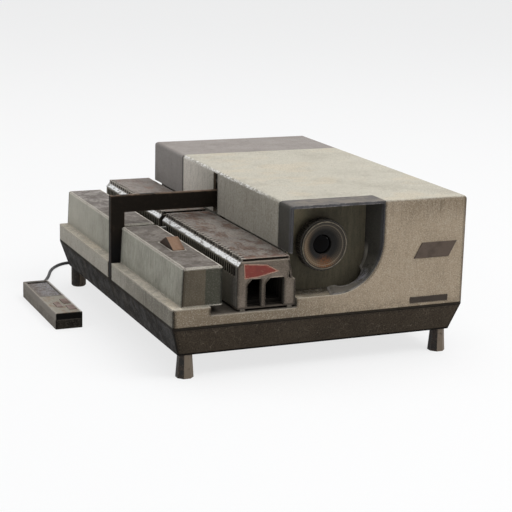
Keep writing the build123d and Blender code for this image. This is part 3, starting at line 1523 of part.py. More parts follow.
cord_radii = corner_radii(cord_points)
print("cord radii", [round(radius, 1) for radius in cord_radii])
with BuildPart() as remote_cord:
    with BuildLine() as cord_path:
        FilletPolyline(*cord_points, radius=cord_radii)
    with BuildSketch(Plane(origin=cord_path.line @ 0, z_dir=cord_path.line % 0)):
        Circle(cord_diameter / 2)
    sweep()
cord_length = sum(edge.length for edge in cord_path.edges())
print("cord length", round(cord_length, 1),
      "volume ratio", round(remote_cord.part.volume / (cord_length * math.pi * cord_diameter ** 2 / 4), 4))
finish(remote_cord, "remote_cord")


# Remote handset: lower shell, top with rails, sunk panel, three keys and a sleeve for the cord
with BuildPart() as remote_shell:
    with BuildSketch():
        with Locations((remote_x, remote_mid_y)):
            RectangleRounded(remote_width, remote_length, 1.2)
    extrude(amount=remote_seam_z)
    with BuildSketch(Plane.XY.offset(remote_wall)):
        with Locations((remote_x, remote_mid_y)):
            Rectangle(remote_width - 2 * remote_wall, remote_length - 2 * remote_wall)
    extrude(amount=remote_seam_z - remote_wall, mode=Mode.SUBTRACT)
    # Pads that carry the key springs
    with BuildSketch(Plane.XY.offset(remote_wall)):
        with Locations(*[(x, y) for x, y, _, _ in key_holes]):
            Circle(2.4)
    extrude(amount=remote_height - remote_wall - 2 * remote_key_flange - 5.0)
finish(remote_shell, "remote_shell")

cord_end = Vector(cord_points[-1])
with BuildPart() as remote_cover:
    with BuildSketch(Plane.XY.offset(remote_seam_z)):
        with Locations((remote_x, remote_mid_y)):
            RectangleRounded(remote_width, remote_length, 1.2)
    extrude(amount=remote_height - remote_seam_z)
    chamfer(remote_cover.faces().sort_by(Axis.Z)[-1].edges(), 0.6)
    with BuildSketch(Plane.XY.offset(remote_seam_z)):
        with Locations((remote_x, remote_mid_y)):
            Rectangle(remote_width - 2 * remote_wall, remote_length - 2 * remote_wall)
    extrude(amount=remote_height - remote_seam_z - remote_wall, mode=Mode.SUBTRACT)
    with BuildSketch(Plane.XY.offset(remote_height)):
        for x, y, width, length in key_holes:
            with Locations((x, y)):
                Rectangle(width + 2 * remote_key_gap, length + 2 * remote_key_gap)
        with Locations((remote_x, (panel_front_y + panel_rear_y) / 2)):
            Rectangle(panel_width, panel_rear_y - panel_front_y)
    extrude(amount=-(remote_wall + 0.2), mode=Mode.SUBTRACT)
finish(remote_cover, "remote_cover")

with BuildPart() as remote_panel:
    with BuildSketch(Plane.XY.offset(remote_height - remote_wall - 1.0)):
        with Locations((remote_x, (panel_front_y + panel_rear_y) / 2)):
            Rectangle(remote_width - 2 * remote_wall, panel_rear_y - panel_front_y + 4.0)
    extrude(amount=1.0)
    with BuildSketch(Plane.XY.offset(remote_height - remote_wall)):
        with Locations((remote_x, (panel_front_y + panel_rear_y) / 2)):
            Rectangle(panel_width, panel_rear_y - panel_front_y)
    extrude(amount=remote_wall - panel_sink)
finish(remote_panel, "remote_panel")

with BuildPart() as remote_sleeve:
    with BuildSketch(Plane.XZ.offset(-remote_rear_y)):
        with Locations((cord_end.X, cord_end.Z)):
            Circle(sleeve_radius)
    with BuildSketch(Plane.XZ.offset(-cord_end.Y)):
        with Locations((cord_end.X, cord_end.Z)):
            Circle(cord_diameter / 2 + 0.6)
    loft()
finish(remote_sleeve, "remote_sleeve")

for label, (x, y, width, length) in zip(
    ("remote_forward_key", "remote_reverse_key", "remote_focus_key"), key_holes
):
    with BuildPart() as remote_key:
        with BuildSketch(Plane.XY.offset(remote_height - remote_wall - 0.3)):
            with Locations((x, y)):
                Rectangle(width, length)
        extrude(amount=remote_wall + 0.3 + remote_key_rise)
        chamfer(remote_key.faces().sort_by(Axis.Z)[-1].edges(), 0.5)
        with BuildSketch(Plane.XY.offset(remote_height - remote_wall - 0.3)):
            with Locations((x, y)):
                Rectangle(width + 2.0, length + 2.0)
        extrude(amount=-remote_key_flange)
    finish(remote_key, label)


# Feet: two front adjusters with stems in bushings, two fixed rear feet
def adjusting_foot(label, x, y):
    """Eight-sided foot, wider at the floor, on a round stem."""
    with BuildPart() as foot:
        with BuildSketch():
            with Locations((x, y)):
                RegularPolygon(foot_bottom_radius, 8, rotation=22.5)
        with BuildSketch(Plane.XY.offset(base_bottom_z - foot_gap)):
            with Locations((x, y)):
                RegularPolygon(foot_top_radius, 8, rotation=22.5)
        loft()
        with BuildSketch(Plane.XY.offset(base_bottom_z - foot_gap)):
            with Locations((x, y)):
                Circle(foot_stem_radius)
        extrude(amount=bush_height)
    finish(foot, label)


adjusting_foot("left_foot", *front_foot_places[0])
adjusting_foot("right_foot", *front_foot_places[1])

with BuildPart() as foot_bushings:
    with BuildSketch(Plane.XY.offset(base_bottom_z)):
        with Locations(*front_foot_places):
            Circle(bush_radius)
        with Locations(*front_foot_places):
            Circle(foot_stem_radius + running_clearance, mode=Mode.SUBTRACT)
    extrude(amount=bush_height)
finish(foot_bushings, "foot_bushings")

with BuildPart() as rear_feet:
    with BuildSketch():
        with Locations(*rear_foot_places):
            Circle(rear_foot_radius)
    extrude(amount=base_bottom_z)
    chamfer(rear_feet.faces().sort_by(Axis.Z)[0:2].edges(), 1.5)
finish(rear_feet, "rear_feet")

with BuildPart() as base_screws:
    with BuildSketch(Plane.XY.offset(base_bottom_z + 1.2)):
        with Locations(*boss_places):
            Circle(3.2)
    extrude(amount=2.8)
    with BuildSketch(Plane.XY.offset(base_bottom_z + 4.0)):
        with Locations(*boss_places):
            Circle(1.6)
    extrude(amount=chassis_top_z - base_bottom_z - 4.0)
finish(base_screws, "base_screws")
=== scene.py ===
"""Finishes, cord and studio of a slide projector, laid out as an add-on and run as a script."""

import math

import bmesh
import bpy
from bpy.props import FloatProperty, FloatVectorProperty, PointerProperty
from mathutils import Matrix, Vector


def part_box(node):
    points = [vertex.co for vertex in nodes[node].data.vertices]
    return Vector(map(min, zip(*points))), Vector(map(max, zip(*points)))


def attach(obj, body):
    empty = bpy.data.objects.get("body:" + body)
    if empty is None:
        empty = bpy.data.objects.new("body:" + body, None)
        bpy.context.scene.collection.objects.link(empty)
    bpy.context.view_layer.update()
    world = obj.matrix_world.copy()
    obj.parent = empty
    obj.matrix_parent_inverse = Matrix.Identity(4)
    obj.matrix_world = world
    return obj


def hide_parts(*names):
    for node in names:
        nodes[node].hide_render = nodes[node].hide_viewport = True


bl_info = {
    "name": "Slide projector finishes",
    "version": (1, 0, 0),
    "blender": (4, 5, 0),
    "location": "View3D > Sidebar > Projector",
    "description": "Dresses the packed slide projector and sets up its studio",
    "category": "Object",
}

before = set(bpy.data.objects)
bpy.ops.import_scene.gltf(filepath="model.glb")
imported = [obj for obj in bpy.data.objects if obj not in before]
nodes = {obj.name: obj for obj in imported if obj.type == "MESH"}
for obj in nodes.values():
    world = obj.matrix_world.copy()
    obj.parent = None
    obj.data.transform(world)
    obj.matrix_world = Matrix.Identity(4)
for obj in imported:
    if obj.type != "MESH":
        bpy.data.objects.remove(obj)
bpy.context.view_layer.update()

# Finishes are written in millimetres, and meshes, like Blender, in metres
metre = 1000.0

# Spacing of the slides in a tray, and of the teeth of its comb
slide_pitch = 6.0
comb_pitch = 8.0

# Heights of the base's upper rim and of the deck that the blocks stand on
base_z = 54.0
deck_z = 75.5

# Front of the housing, front of the lens barrel, and the lens axis
front_y = -218.5
barrel_y = -203.0
lens_x = 33.5
lens_z = 127.5


# Numbers and colours


def tone(red, green, blue):
    """A colour read as it shows on a screen, from 0 to 255, as the linear RGBA that a shader takes."""
    linear = [
        value / 255 / 12.92 if value <= 10 else ((value / 255 + 0.055) / 1.055) ** 2.4
        for value in (red, green, blue)
    ]
    return (*linear, 1.0)


def shade(name, text, red, green, blue):
    """A colour that a user can change in the sidebar."""
    return FloatVectorProperty(
        name=name, description=text, subtype="COLOR", size=4, min=0, max=1, default=tone(red, green, blue)
    )


def length(name, text, metres, highest):
    """A length that a user can change in the sidebar."""
    return FloatProperty(
        name=name, description=text, default=metres, min=0, max=highest, subtype="DISTANCE", unit="LENGTH"
    )


# Shader maths


class Link:
    """One output of a finish's nodes. Operators between links and numbers add Math nodes."""

    def __init__(self, finish, socket):
        self.finish = finish
        self.socket = socket

    def math(self, operation, *values):
        return self.finish.node("ShaderNodeMath", {"operation": operation}, dict(enumerate(values)))[0]

    def __add__(self, other):
        return self.math("ADD", self, other)

    def __radd__(self, other):
        return self.math("ADD", other, self)

    def __sub__(self, other):
        return self.math("SUBTRACT", self, other)

    def __rsub__(self, other):
        return self.math("SUBTRACT", other, self)

    def __mul__(self, other):
        return self.math("MULTIPLY", self, other)

    def __rmul__(self, other):
        return self.math("MULTIPLY", other, self)

    def __neg__(self):
        return self.math("MULTIPLY", self, -1.0)

    def __abs__(self):
        return self.math("ABSOLUTE", self)

    def __or__(self, other):
        return self.math("MAXIMUM", self, other)

    def between(self, low, high):
        """0 at low and 1 at high, with a smooth turn at both."""
        sockets = {"Value": self, "From Min": low, "From Max": high}
        return self.finish.node("ShaderNodeMapRange", {"interpolation_type": "SMOOTHSTEP"}, sockets)[0]

    def stripes(self, radians, low, high):
        """Even stripes: the sine of so many radians for each unit, with a smooth step from low to high."""
        return self.math("SINE", self * radians).between(low, high)


class NodeTree:
    """The nodes of a material or of the world, emptied and ready to be filled."""

    def __init__(self, holder):
        holder.use_nodes = True
        self.tree = holder.node_tree
        self.tree.nodes.clear()

    def node(self, kind, settings=None, sockets=None):
        """Adds a node, sets its settings first, then gives its sockets values or links."""
        made = self.tree.nodes.new(kind)
        for name, value in (settings or {}).items():
            setattr(made, name, value)
        for key, value in (sockets or {}).items():
            if isinstance(value, Link):
                self.tree.links.new(value.socket, made.inputs[key])
            else:
                made.inputs[key].default_value = value
        return [Link(self, socket) for socket in made.outputs]

    def seen_white(self):
        """1 for camera, glossy and transmission rays, which see the white background."""
        rays = self.node("ShaderNodeLightPath")
        camera, glossy, transmission = rays[0], rays[3], rays[6]
        return camera | glossy | transmission


class Finish(NodeTree):
    """A material that is written as expressions on links. Lengths in it are millimetres."""

    def __init__(self, name):
        self.material = bpy.data.materials.new(name)
        super().__init__(self.material)
        coordinates = self.node("ShaderNodeTexCoord")
        self.facing, own_place = coordinates[1], coordinates[3]
        self.place = self.vector("MULTIPLY", own_place, (metre, metre, metre))
        self.x, self.y, self.z = self.node("ShaderNodeSeparateXYZ", None, {0: self.place})
        self.right, self.back, self.up = self.node("ShaderNodeSeparateXYZ", None, {0: self.facing})

    def vector(self, operation, *values):
        made = self.node("ShaderNodeVectorMath", {"operation": operation}, dict(enumerate(values)))
        return made[1] if operation in ("DOT_PRODUCT", "DISTANCE") else made[0]

    def mix(self, factor, under, over):
        """The colour under, covered by the colour over as far as the factor says."""
        return self.node("ShaderNodeMix", {"data_type": "RGBA"}, {0: factor, 6: under, 7: over})[2]

    def coats(self, colour, *layers):
        """The colour under layers of paint: each has its mask, then its red, green and blue as they show."""
        for mask, *shown in layers:
            colour = self.mix(mask, colour, tone(*shown))
        return colour

    def noise(self, size, detail=3.0, rough=0.55, stretch=(1, 1, 1), seed=0.0):
        """Cloudy noise from 0 to 1 whose blotches are about size across, drawn out by stretch."""
        scaled = self.vector("MULTIPLY", self.place, [1 / (size * s) for s in stretch])
        moved = self.vector("ADD", scaled, (seed, seed * 1.7, seed * 0.6))
        sockets = {"Vector": moved, "Scale": 1.0, "Detail": detail, "Roughness": rough}
        return self.node("ShaderNodeTexNoise", None, sockets)[0]

    def near(self, middle, reach, stretch=(1, 1, 1)):
        """1 at the middle of a spot and 0 from its reach outwards."""
        shrink = [1 / s for s in stretch]
        here = self.vector("MULTIPLY", self.place, shrink)
        there = [m * s for m, s in zip(middle, shrink)]
        return self.vector("DISTANCE", here, there).between(reach, reach * 0.25)

    def from_lens(self):
        """Distance from the lens axis."""
        flat = self.vector("MULTIPLY", self.place, (1, 0, 1))
        return self.vector("DISTANCE", flat, (lens_x, 0, lens_z))

    def round_lens(self):
        """Angle round the lens axis, in radians."""
        return self.z.math("ARCTAN2", self.z - lens_z, self.x - lens_x)

    def on_front(self):
        """1 on faces that look forwards."""
        return (-self.back).between(0.5, 0.8)

    def on_left(self):
        """1 on faces that look to the left."""
        return (-self.right).between(0.5, 0.8)

    def on_top(self):
        """1 on faces that look up."""
        return self.up.between(0.6, 0.9)

    def by_face(self, top, front, side):
        """Colours of upward, front and side faces, blended where a surface turns."""
        colour = self.mix(abs(self.back).between(0.35, 0.8), side, front)
        return self.mix(self.up.between(0.35, 0.8), colour, top)

    def rounded(self, radius):
        """The normal of the surface with its edges rounded by that radius."""
        return self.node("ShaderNodeBevel", {"samples": 4}, {"Radius": radius / metre})[0]

    def bend(self, soft):
        """How far a rounded normal turns away from the flat face, from 0 upwards."""
        flat = self.node("ShaderNodeNewGeometry")[1]
        return 1 - self.vector("DOT_PRODUCT", soft, flat)

    def edges(self, radius):
        """1 on outer and inner edges and 0 on open faces."""
        return self.bend(self.rounded(radius)).between(0.005, 0.09)

    def upright_edges(self, radius):
        """1 on edges that stand upright or lean, 0 on level edges and open faces."""
        soft = self.rounded(radius)
        settings = {"vector_type": "NORMAL", "convert_from": "WORLD", "convert_to": "OBJECT"}
        own = self.node("ShaderNodeVectorTransform", settings, {0: soft})[0]
        along = self.vector("NORMALIZE", self.vector("CROSS_PRODUCT", self.facing, own))
        rise = self.node("ShaderNodeSeparateXYZ", None, {0: along})[2]
        return self.bend(soft).between(0.0, 0.03) * abs(rise).between(0.45, 0.75)

    def corners(self, reach):
        """1 deep in corners, from ambient occlusion, where grime and painted shade go; 0 on open faces."""
        settings = {"samples": 4, "only_local": True}
        open_sky = self.node("ShaderNodeAmbientOcclusion", settings, {"Distance": reach / metre})[1]
        return open_sky.between(0.85, 0.3)

    def close(self, colour, roughness, height=None, depth=0.2, soft=0.5, specular=0.5, metal=0.0, clear=0.0):
        """Joins all to the surface shader. Depth is the bump's, soft the radius of the edges, 0 for sharp."""
        normal = {"Normal": self.rounded(soft)} if soft else {}
        if height is not None:
            bump = {"Height": height, "Distance": depth / metre, **normal}
            normal = {"Normal": self.node("ShaderNodeBump", None, bump)[0]}
        sockets = {
            "Base Color": colour, "Roughness": roughness, "Specular IOR Level": specular,
            "Metallic": metal, "Transmission Weight": clear, **normal,
        }
        surface = self.node("ShaderNodeBsdfPrincipled", None, sockets)[0]
        self.node("ShaderNodeOutputMaterial", None, {"Surface": surface})
        return self.material


def dress(material, *names):
    """Gives the nodes that material in every slot."""
    for name in names:
        mesh = nodes[name].data
        mesh.materials.clear()
        mesh.materials.append(material)


def aged_paint(
    name, top, front, side, worn, dirt_and_shade, wear, speckle, streaks, blotches, gloss=0.55, rub=2.6,
    marks=None, hidden=None,
):
    """Old enamel: blotches, speckles, streaks down the walls, bare edges, and grime with painted shade in the
    corners.
    """
    paint = Finish(name)
    cloudy = paint.noise(40, 4, 0.65)
    wall = 1 - abs(paint.up).between(0.4, 0.8)
    runs = paint.noise(2.6, 3, 0.75, (1, 1, 8), 3.0).between(0.46, 0.8)
    colour = paint.coats(
        paint.by_face(top, front, side),
        (cloudy.between(0.46, 0.72) * blotches, *dirt_and_shade),
        (cloudy.between(0.5, 0.3) * blotches * 0.4, *worn),
        (runs * wall * streaks, *dirt_and_shade),
    )
    if marks:
        colour = marks(paint, colour)
    grain = paint.noise(1.3, 2, 0.85, seed=7.0)
    upright = paint.upright_edges(rub * 1.8)
    rubbed = paint.edges(rub) * paint.noise(7, 4, 0.7, seed=11.0).between(0.2, 0.45)
    broken = paint.noise(9, 4, 0.8, seed=53.0).between(0.3, 0.42)
    colour = paint.coats(
        colour,
        (grain.between(0.5, 0.64) * speckle, *dirt_and_shade),
        (grain.between(0.48, 0.34) * speckle * 0.7, *worn),
        (rubbed * (1 - upright) * wear, *worn),
        (upright * broken * 0.95, 14, 13, 11),
        # Grime and painted shade where ambient occlusion finds corners
        (paint.corners(9) * 0.8, *dirt_and_shade),
    )
    if hidden:
        colour = hidden(paint, colour)
    scuffs = paint.noise(14, 5, 0.7, seed=5.0)
    roughness = gloss + 0.25 * scuffs.between(0.35, 0.65) + 0.1 * rubbed
    height = grain * 0.6 + runs * wall * 0.2 - rubbed * 0.4
    return paint.close(colour, roughness, height, specular=0.04)


def plain_finish(name, colour, worn, dirt_and_shade, gloss=0.45, metal=0.0, grain=2.2, wear=0.5, spots=0.35, clear=0.0):
    """A moulded, cast or turned part: mottled colour, rubbed edges, and grime with painted shade in the
    corners.
    """
    part = Finish(name)
    cloudy = part.noise(16, 4, 0.6, seed=2.0)
    fine = part.noise(grain, 3, 0.65, seed=9.0)
    rubbed = part.edges(1.4) * part.noise(5, 3, 0.7, seed=4.0).between(0.34, 0.58)
    shown = part.coats(
        colour,
        (cloudy.between(0.45, 0.7) * spots, *dirt_and_shade),
        (fine.between(0.56, 0.72) * spots, *worn),
        (rubbed * wear, *worn),
        # Grime and painted shade where ambient occlusion finds corners
        (part.corners(6) * 0.6, *dirt_and_shade),
    )
    roughness = gloss + 0.2 * cloudy.between(0.4, 0.7) - 0.05 * rubbed
    return part.close(shown, roughness, fine, 0.06, specular=0.25, metal=metal, clear=clear)


# Colour, worn colour, colour of grime and of painted shade in corners, and further options of each plain
# finish
plain_finishes = {
    "plate_metal": (
        (86, 74, 65), (52, 44, 38), (50, 42, 36), {"gloss": 0.4, "metal": 0.3, "grain": 1.2, "wear": 0.8},
    ),
    "strip_metal": (
        (56, 48, 41), (96, 86, 74), (30, 26, 23), {"gloss": 0.42, "metal": 0.25, "grain": 0.9, "wear": 0.7},
    ),
    "zinc_steel": ((150, 148, 142), (190, 188, 182), (88, 70, 52), {"gloss": 0.4, "metal": 0.85}),
    "carriage_black": ((28, 27, 27), (96, 92, 88), (14, 13, 12), {"gloss": 0.4, "metal": 0.4}),
    "blade_steel": ((140, 138, 134), (200, 198, 192), (70, 60, 50), {"gloss": 0.32, "metal": 0.9}),
    "liner_metal": ((84, 78, 70), (140, 132, 120), (42, 37, 32), {"metal": 0.4}),
    "mount_cast": ((64, 62, 60), (120, 116, 110), (30, 28, 26), {}),
    "zinc_sheet": (
        (150, 146, 138), (186, 182, 174), (96, 84, 68), {"gloss": 0.42, "metal": 0.8, "grain": 3.0},
    ),
    "holder_cast": ((70, 68, 66), (128, 124, 118), (34, 32, 30), {}),
    "lamp_sheet": ((124, 118, 108), (170, 164, 154), (60, 48, 38), {"metal": 0.75, "grain": 4.0}),
    "ceramic": ((214, 208, 196), (232, 228, 220), (120, 100, 78), {"gloss": 0.5}),
    "mirror_metal": ((210, 210, 206), (236, 236, 232), (150, 140, 120), {"gloss": 0.08, "metal": 1.0}),
    "clear_glass": (
        (226, 232, 236), (240, 244, 246), (196, 204, 206), {"gloss": 0.06, "grain": 6.0, "clear": 0.9},
    ),
    "black_plastic": ((30, 30, 31), (78, 76, 74), (16, 15, 15), {"gloss": 0.5}),
    "wheel_plastic": ((96, 104, 108), (142, 148, 150), (48, 46, 44), {}),
    "gear_plastic": ((196, 188, 168), (216, 210, 194), (92, 78, 60), {}),
    "motor_steel": ((128, 126, 122), (176, 174, 168), (64, 56, 48), {"gloss": 0.36, "metal": 0.85}),
}


def dress_plain(name, *parts):
    """Makes a plain finish from its row in the table and gives it to the parts."""
    colour, worn, dirt_and_shade, options = plain_finishes[name]
    dress(plain_finish(name, tone(*colour), worn, dirt_and_shade, **options), *parts)


# Mesh helpers


def add_object(name, data):
    """An object in the scene that shows a mesh, a curve, a lamp or a camera."""
    made = bpy.data.objects.new(name, data)
    bpy.context.scene.collection.objects.link(made)
    return made


def front_middle(low, high):
    """The middle of the front face of a box."""
    return Vector(((low.x + high.x) / 2, low.y, (low.z + high.z) / 2))


def settle(name, mesh, body, material, *replaced):
    """Makes a piece from a mesh, gives it its finish and body, and hides the nodes it stands for."""
    piece = add_object(name, mesh)
    mesh.materials.append(material)
    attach(piece, body)
    if replaced:
        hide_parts(*replaced)
    return piece


def turned(name, profile, middle, sides, body, material, *replaced):
    """A piece turned about a line that runs backwards: the profile holds (radius, distance along it)."""
    mesh = bpy.data.meshes.new(name)
    built = bmesh.new()
    turns = [2 * math.pi * side / sides for side in range(sides)]
    spokes = [Vector((math.sin(turn), 0, math.cos(turn))) for turn in turns]
    rings = []
    for radius, along in profile:
        centre = middle + Vector((0, along, 0))
        places = [centre + radius * spoke for spoke in spokes] if radius else [centre]
        rings.append([built.verts.new(place) for place in places])
    for low, high in zip(rings, rings[1:]):
        for side in range(sides):
            after = side + 1
            corners = [low[side % len(low)], low[after % len(low)]]
            corners += [high[after % len(high)], high[side % len(high)]]
            unique = list(dict.fromkeys(corners))
            if len(unique) > 2:
                built.faces.new(unique)
    bmesh.ops.recalc_face_normals(built, faces=built.faces)
    for face in built.faces:
        face.smooth = True
    built.to_mesh(mesh)
    built.free()
    mesh.set_sharp_from_angle(angle=math.radians(32))
    return settle(name, mesh, body, material, *replaced)


def relief(name, start, span, widest, narrowest, material, replaced):
    """A tapered rubber sleeve with ribs, from its start backwards along y, in metres."""
    ribs, sides = 5, 40
    rounding, groove = 0.0004, 0.0008
    rib = span / ribs
    profile = [(0.0, 0.0)]
    for number in range(ribs):
        radius = widest + (narrowest - widest) * (number / ribs)
        along = number * rib
        profile += [(radius - rounding, along), (radius, along + rib * 0.15), (radius, along + rib * 0.5)]
        profile += [(radius - groove, along + rib * 0.62), (radius - groove, along + rib * 0.95)]
    profile += [(narrowest, span - rib * 0.1), (narrowest, span), (0.0, span)]
    return turned(name, profile, start, sides, "projector", material, replaced)


# Sizes and colours


class ProjectorSizes(bpy.types.PropertyGroup):
    """Lengths of the cord and the studio."""

    cord_diameter: length("Cord diameter", "Thickness of the cord between projector and handset", 0.004, 0.02)
    cord_length: length("Cord length", "Length of the cord from its gland to the handset", 0.2527, 5.0)
    floor_width: length("Floor width", "Width of the square floor", 14.0, 100.0)
    lens_length: FloatProperty(
        name="Focal length", description="Focal length of the camera on a 36 mm sensor",
        default=103.18, min=20, max=400,
    )


class ProjectorColours(bpy.types.PropertyGroup):
    """Colours of the projector's main finishes."""

    cream: shade("Cream enamel", "Top of the main housing", 198, 193, 179)
    cream_front: shade("Front enamel", "Front of the main housing", 163, 147, 126)
    cream_side: shade("Side enamel", "Left wall of the main housing", 178, 173, 162)
    cover: shade("Cover enamel", "Rear cover over the lamp", 158, 151, 146)
    base: shade("Base enamel", "Sloping base", 62, 54, 45)
    block: shade("Block enamel", "Tops of the deck blocks", 122, 116, 110)
    block_side: shade("Block sides", "Left faces of the deck blocks", 158, 156, 144)
    arm: shade("Arm enamel", "Changer arm", 32, 28, 24)
    tray: shade("Tray lacquer", "Lids of the slide trays", 130, 124, 118)
    slate: shade("Bezel slate", "Hood round the lens recess", 76, 75, 77)
    label: shade("Label red", "Field of the tray's label", 114, 36, 22)
    key: shade("Key brown", "Wedge key on the front block", 118, 96, 79)
    handset: shade("Handset shell", "Shell of the remote handset", 128, 120, 112)
    mauve: shade("Key mauve", "Keys of the handset", 128, 108, 100)
    rubber: shade("Cord rubber", "Sheath of the cord", 14, 14, 16)


def sizes():
    return bpy.context.scene.projector_sizes


def colour_of(name):
    return tuple(getattr(bpy.context.scene.projector_colours, name))


# Finishes of the projector's parts


def housing_marks(paint, colour):
    """Grime and damp on the front, painted shade under the recess, a wall darkening forwards, a worn deck, a
    painted highlight on the crest.
    """
    front = paint.on_front()
    left = paint.on_left()
    above = paint.up.between(0.5, 0.8)
    ragged = paint.noise(11, 5, 0.75, seed=21.0)
    lower_wall = left * paint.z.between(deck_z + 4.5, deck_z + 0.5) * paint.y.between(80, -200)
    runs = paint.noise(2.2, 3, 0.8, (1, 1, 9), 45.0)
    chipped = left * (paint.z + ragged * 9).between(deck_z + 1.9, deck_z + 3.1)
    colour = paint.coats(
        colour,
        (left * paint.y.between(-30, 80) * paint.z.between(deck_z + 0.5, deck_z + 3.5) * 0.9, 238, 231, 220),
        (left * paint.y.between(0, -170) * 0.3, 118, 115, 102),
        (lower_wall * 0.85, 104, 101, 93),
        (left * runs.between(0.5, 0.64) * (0.25 + lower_wall * 0.3), 84, 79, 70),
        (left * runs.between(0.44, 0.34) * 0.4, 176, 170, 158),
        (chipped * paint.z.between(deck_z + 0.5, deck_z - 0.1) * 0.75, 172, 164, 150),
    )
    damp = front * paint.z.between(140, 172) * paint.x.between(50, 150)
    drips = paint.noise(3.2, 4, 0.8, (1, 1, 9), 27.0)
    turn = 1 - (abs(paint.right) | abs(paint.back) | abs(paint.up))
    brow = turn.between(0.03, 0.12) * front.between(-0.1, 0.1)
    brow = brow * paint.y.between(front_y + 13.5, front_y + 6.5)
    foot = front * paint.z.between(72, 57) * ragged.between(0.35, 0.6)
    # Painted shade on the front face below the lens recess
    shade_below_recess = front * paint.z.between(79, 74) * paint.x.between(60, -20)
    ledge = above * paint.z.between(deck_z + 14.5, deck_z + 4.5)
    flaked = ledge * paint.x.between(-122.5, -125.5) * ragged.between(0.44, 0.54)
    sill = ledge * paint.x.between(-20, -10) * paint.y.between(-180, -188)
    chips = paint.noise(3.4, 3, 0.7, seed=31.0).between(0.66, 0.7)
    stains = paint.noise(70, 5, 0.7, (1.5, 1, 1), 41.0)
    # Painted highlight along the crest, with darker flakes where it breaks
    crest = turn.between(0.02, 0.1) * paint.x.between(-2, -5) * paint.z.between(160, 166)
    flaking = paint.noise(3.6, 4, 0.8, (1, 1.6, 1), 35.0)
    return paint.coats(
        colour,
        (damp * (0.35 + ragged * 0.3), 112, 98, 80),
        (damp * drips.between(0.45, 0.7) * 0.6, 84, 73, 58),
        (brow * ragged.between(0.35, 0.6) * 0.6, 110, 98, 82),
        (foot * 0.5, 96, 84, 68),
        (shade_below_recess * 0.5, 110, 98, 82),
        (ledge * 0.6, 138, 132, 120),
        (ledge * paint.x.between(-122, -127) * 0.75, 188, 181, 168),
        (flaked * 0.6, 222, 212, 196),
        (sill * 0.8, 116, 104, 86),
        # Painted shadow on the back of the sill, next to the panel
        (sill * paint.y.between(-214, -202) * 0.9, 38, 34, 27),
        (chips * 0.5, 92, 82, 68),
        (stains.between(0.52, 0.66) * above * 0.25, 172, 166, 152),
        (stains.between(0.5, 0.4) * above * 0.4, 208, 194, 170),
        (crest * flaking.between(0.5, 0.42) * 0.7, 150, 145, 134),
        (crest * flaking.between(0.46, 0.56) * paint.y.between(-205, -60), 244, 242, 238),
        (shade_below_recess * 0.3, 84, 74, 60),
    )


def housing_seam(paint, colour):
    """A dark line where the housing stands on the base."""
    return paint.coats(colour, (paint.z.between(base_z + 3.4, base_z + 2.4) * 0.95, 24, 20, 17))


def base_marks(paint, colour):
    """Pale scratches and flecks on the dark slope, which darkens towards its rim."""
    patches = paint.noise(26, 5, 0.75, seed=17.0)
    winding = abs(paint.noise(15, 2, 0.5, seed=13.0) - 0.5).between(0.007, 0.0)
    flecks = paint.noise(1.7, 3, 0.75, seed=37.0).between(0.63, 0.7)
    return paint.coats(
        colour,
        (patches.between(0.54, 0.7) * 0.3, 74, 64, 53),
        (winding * patches.between(0.48, 0.6) * 0.5, 132, 122, 108),
        (flecks * 0.5, 128, 118, 104),
        (paint.z.between(base_z - 4, base_z) * 0.4, 18, 15, 13),
    )


def base_rims(paint, colour):
    """Dark lines along the top and the foot of the slope."""
    rims = paint.z.between(base_z - 0.8, base_z) | paint.z.between(27.5, 26.5)
    return paint.coats(colour, (rims * 0.9, 14, 12, 11))


def block_marks(paint, colour):
    """The front face is brown-grey, darkened to green-grey to the right by painted shade; the top is grimy.
    """
    left = paint.on_left()
    above = paint.on_top()
    behind = paint.y.between(-10, 150)
    ragged = paint.noise(12, 4, 0.7, seed=23.0)
    # Painted shade: the right part of the front face darkened to green-grey
    dark = (paint.x + 3 * ragged).between(-98.5, -97)
    runs = left * paint.noise(2.2, 3, 0.8, (1, 1, 9), 49.0)
    cracks = abs(paint.noise(19, 5, 0.75, (1.4, 1, 1), 57.0) - 0.5).between(0.018, 0.0)
    rims = paint.x.between(-84, -82.6) | paint.x.between(-122.4, -123.4)
    rims = rims * paint.z.between(113.2, 114.6) * ragged.between(0.62, 0.5)
    return paint.coats(
        colour,
        (paint.on_front() * dark * 0.85, 63, 64, 56),
        (runs.between(0.5, 0.64) * 0.4, 98, 94, 84),
        (above * behind * 0.6, 166, 160, 156),
        (left * behind * 0.5, 196, 191, 178),
        (above * ragged.between(0.42, 0.58) * 0.6, 80, 73, 68),
        (above * cracks * 0.6, 62, 46, 38),
        (rims * 0.85, 232, 226, 212),
    )


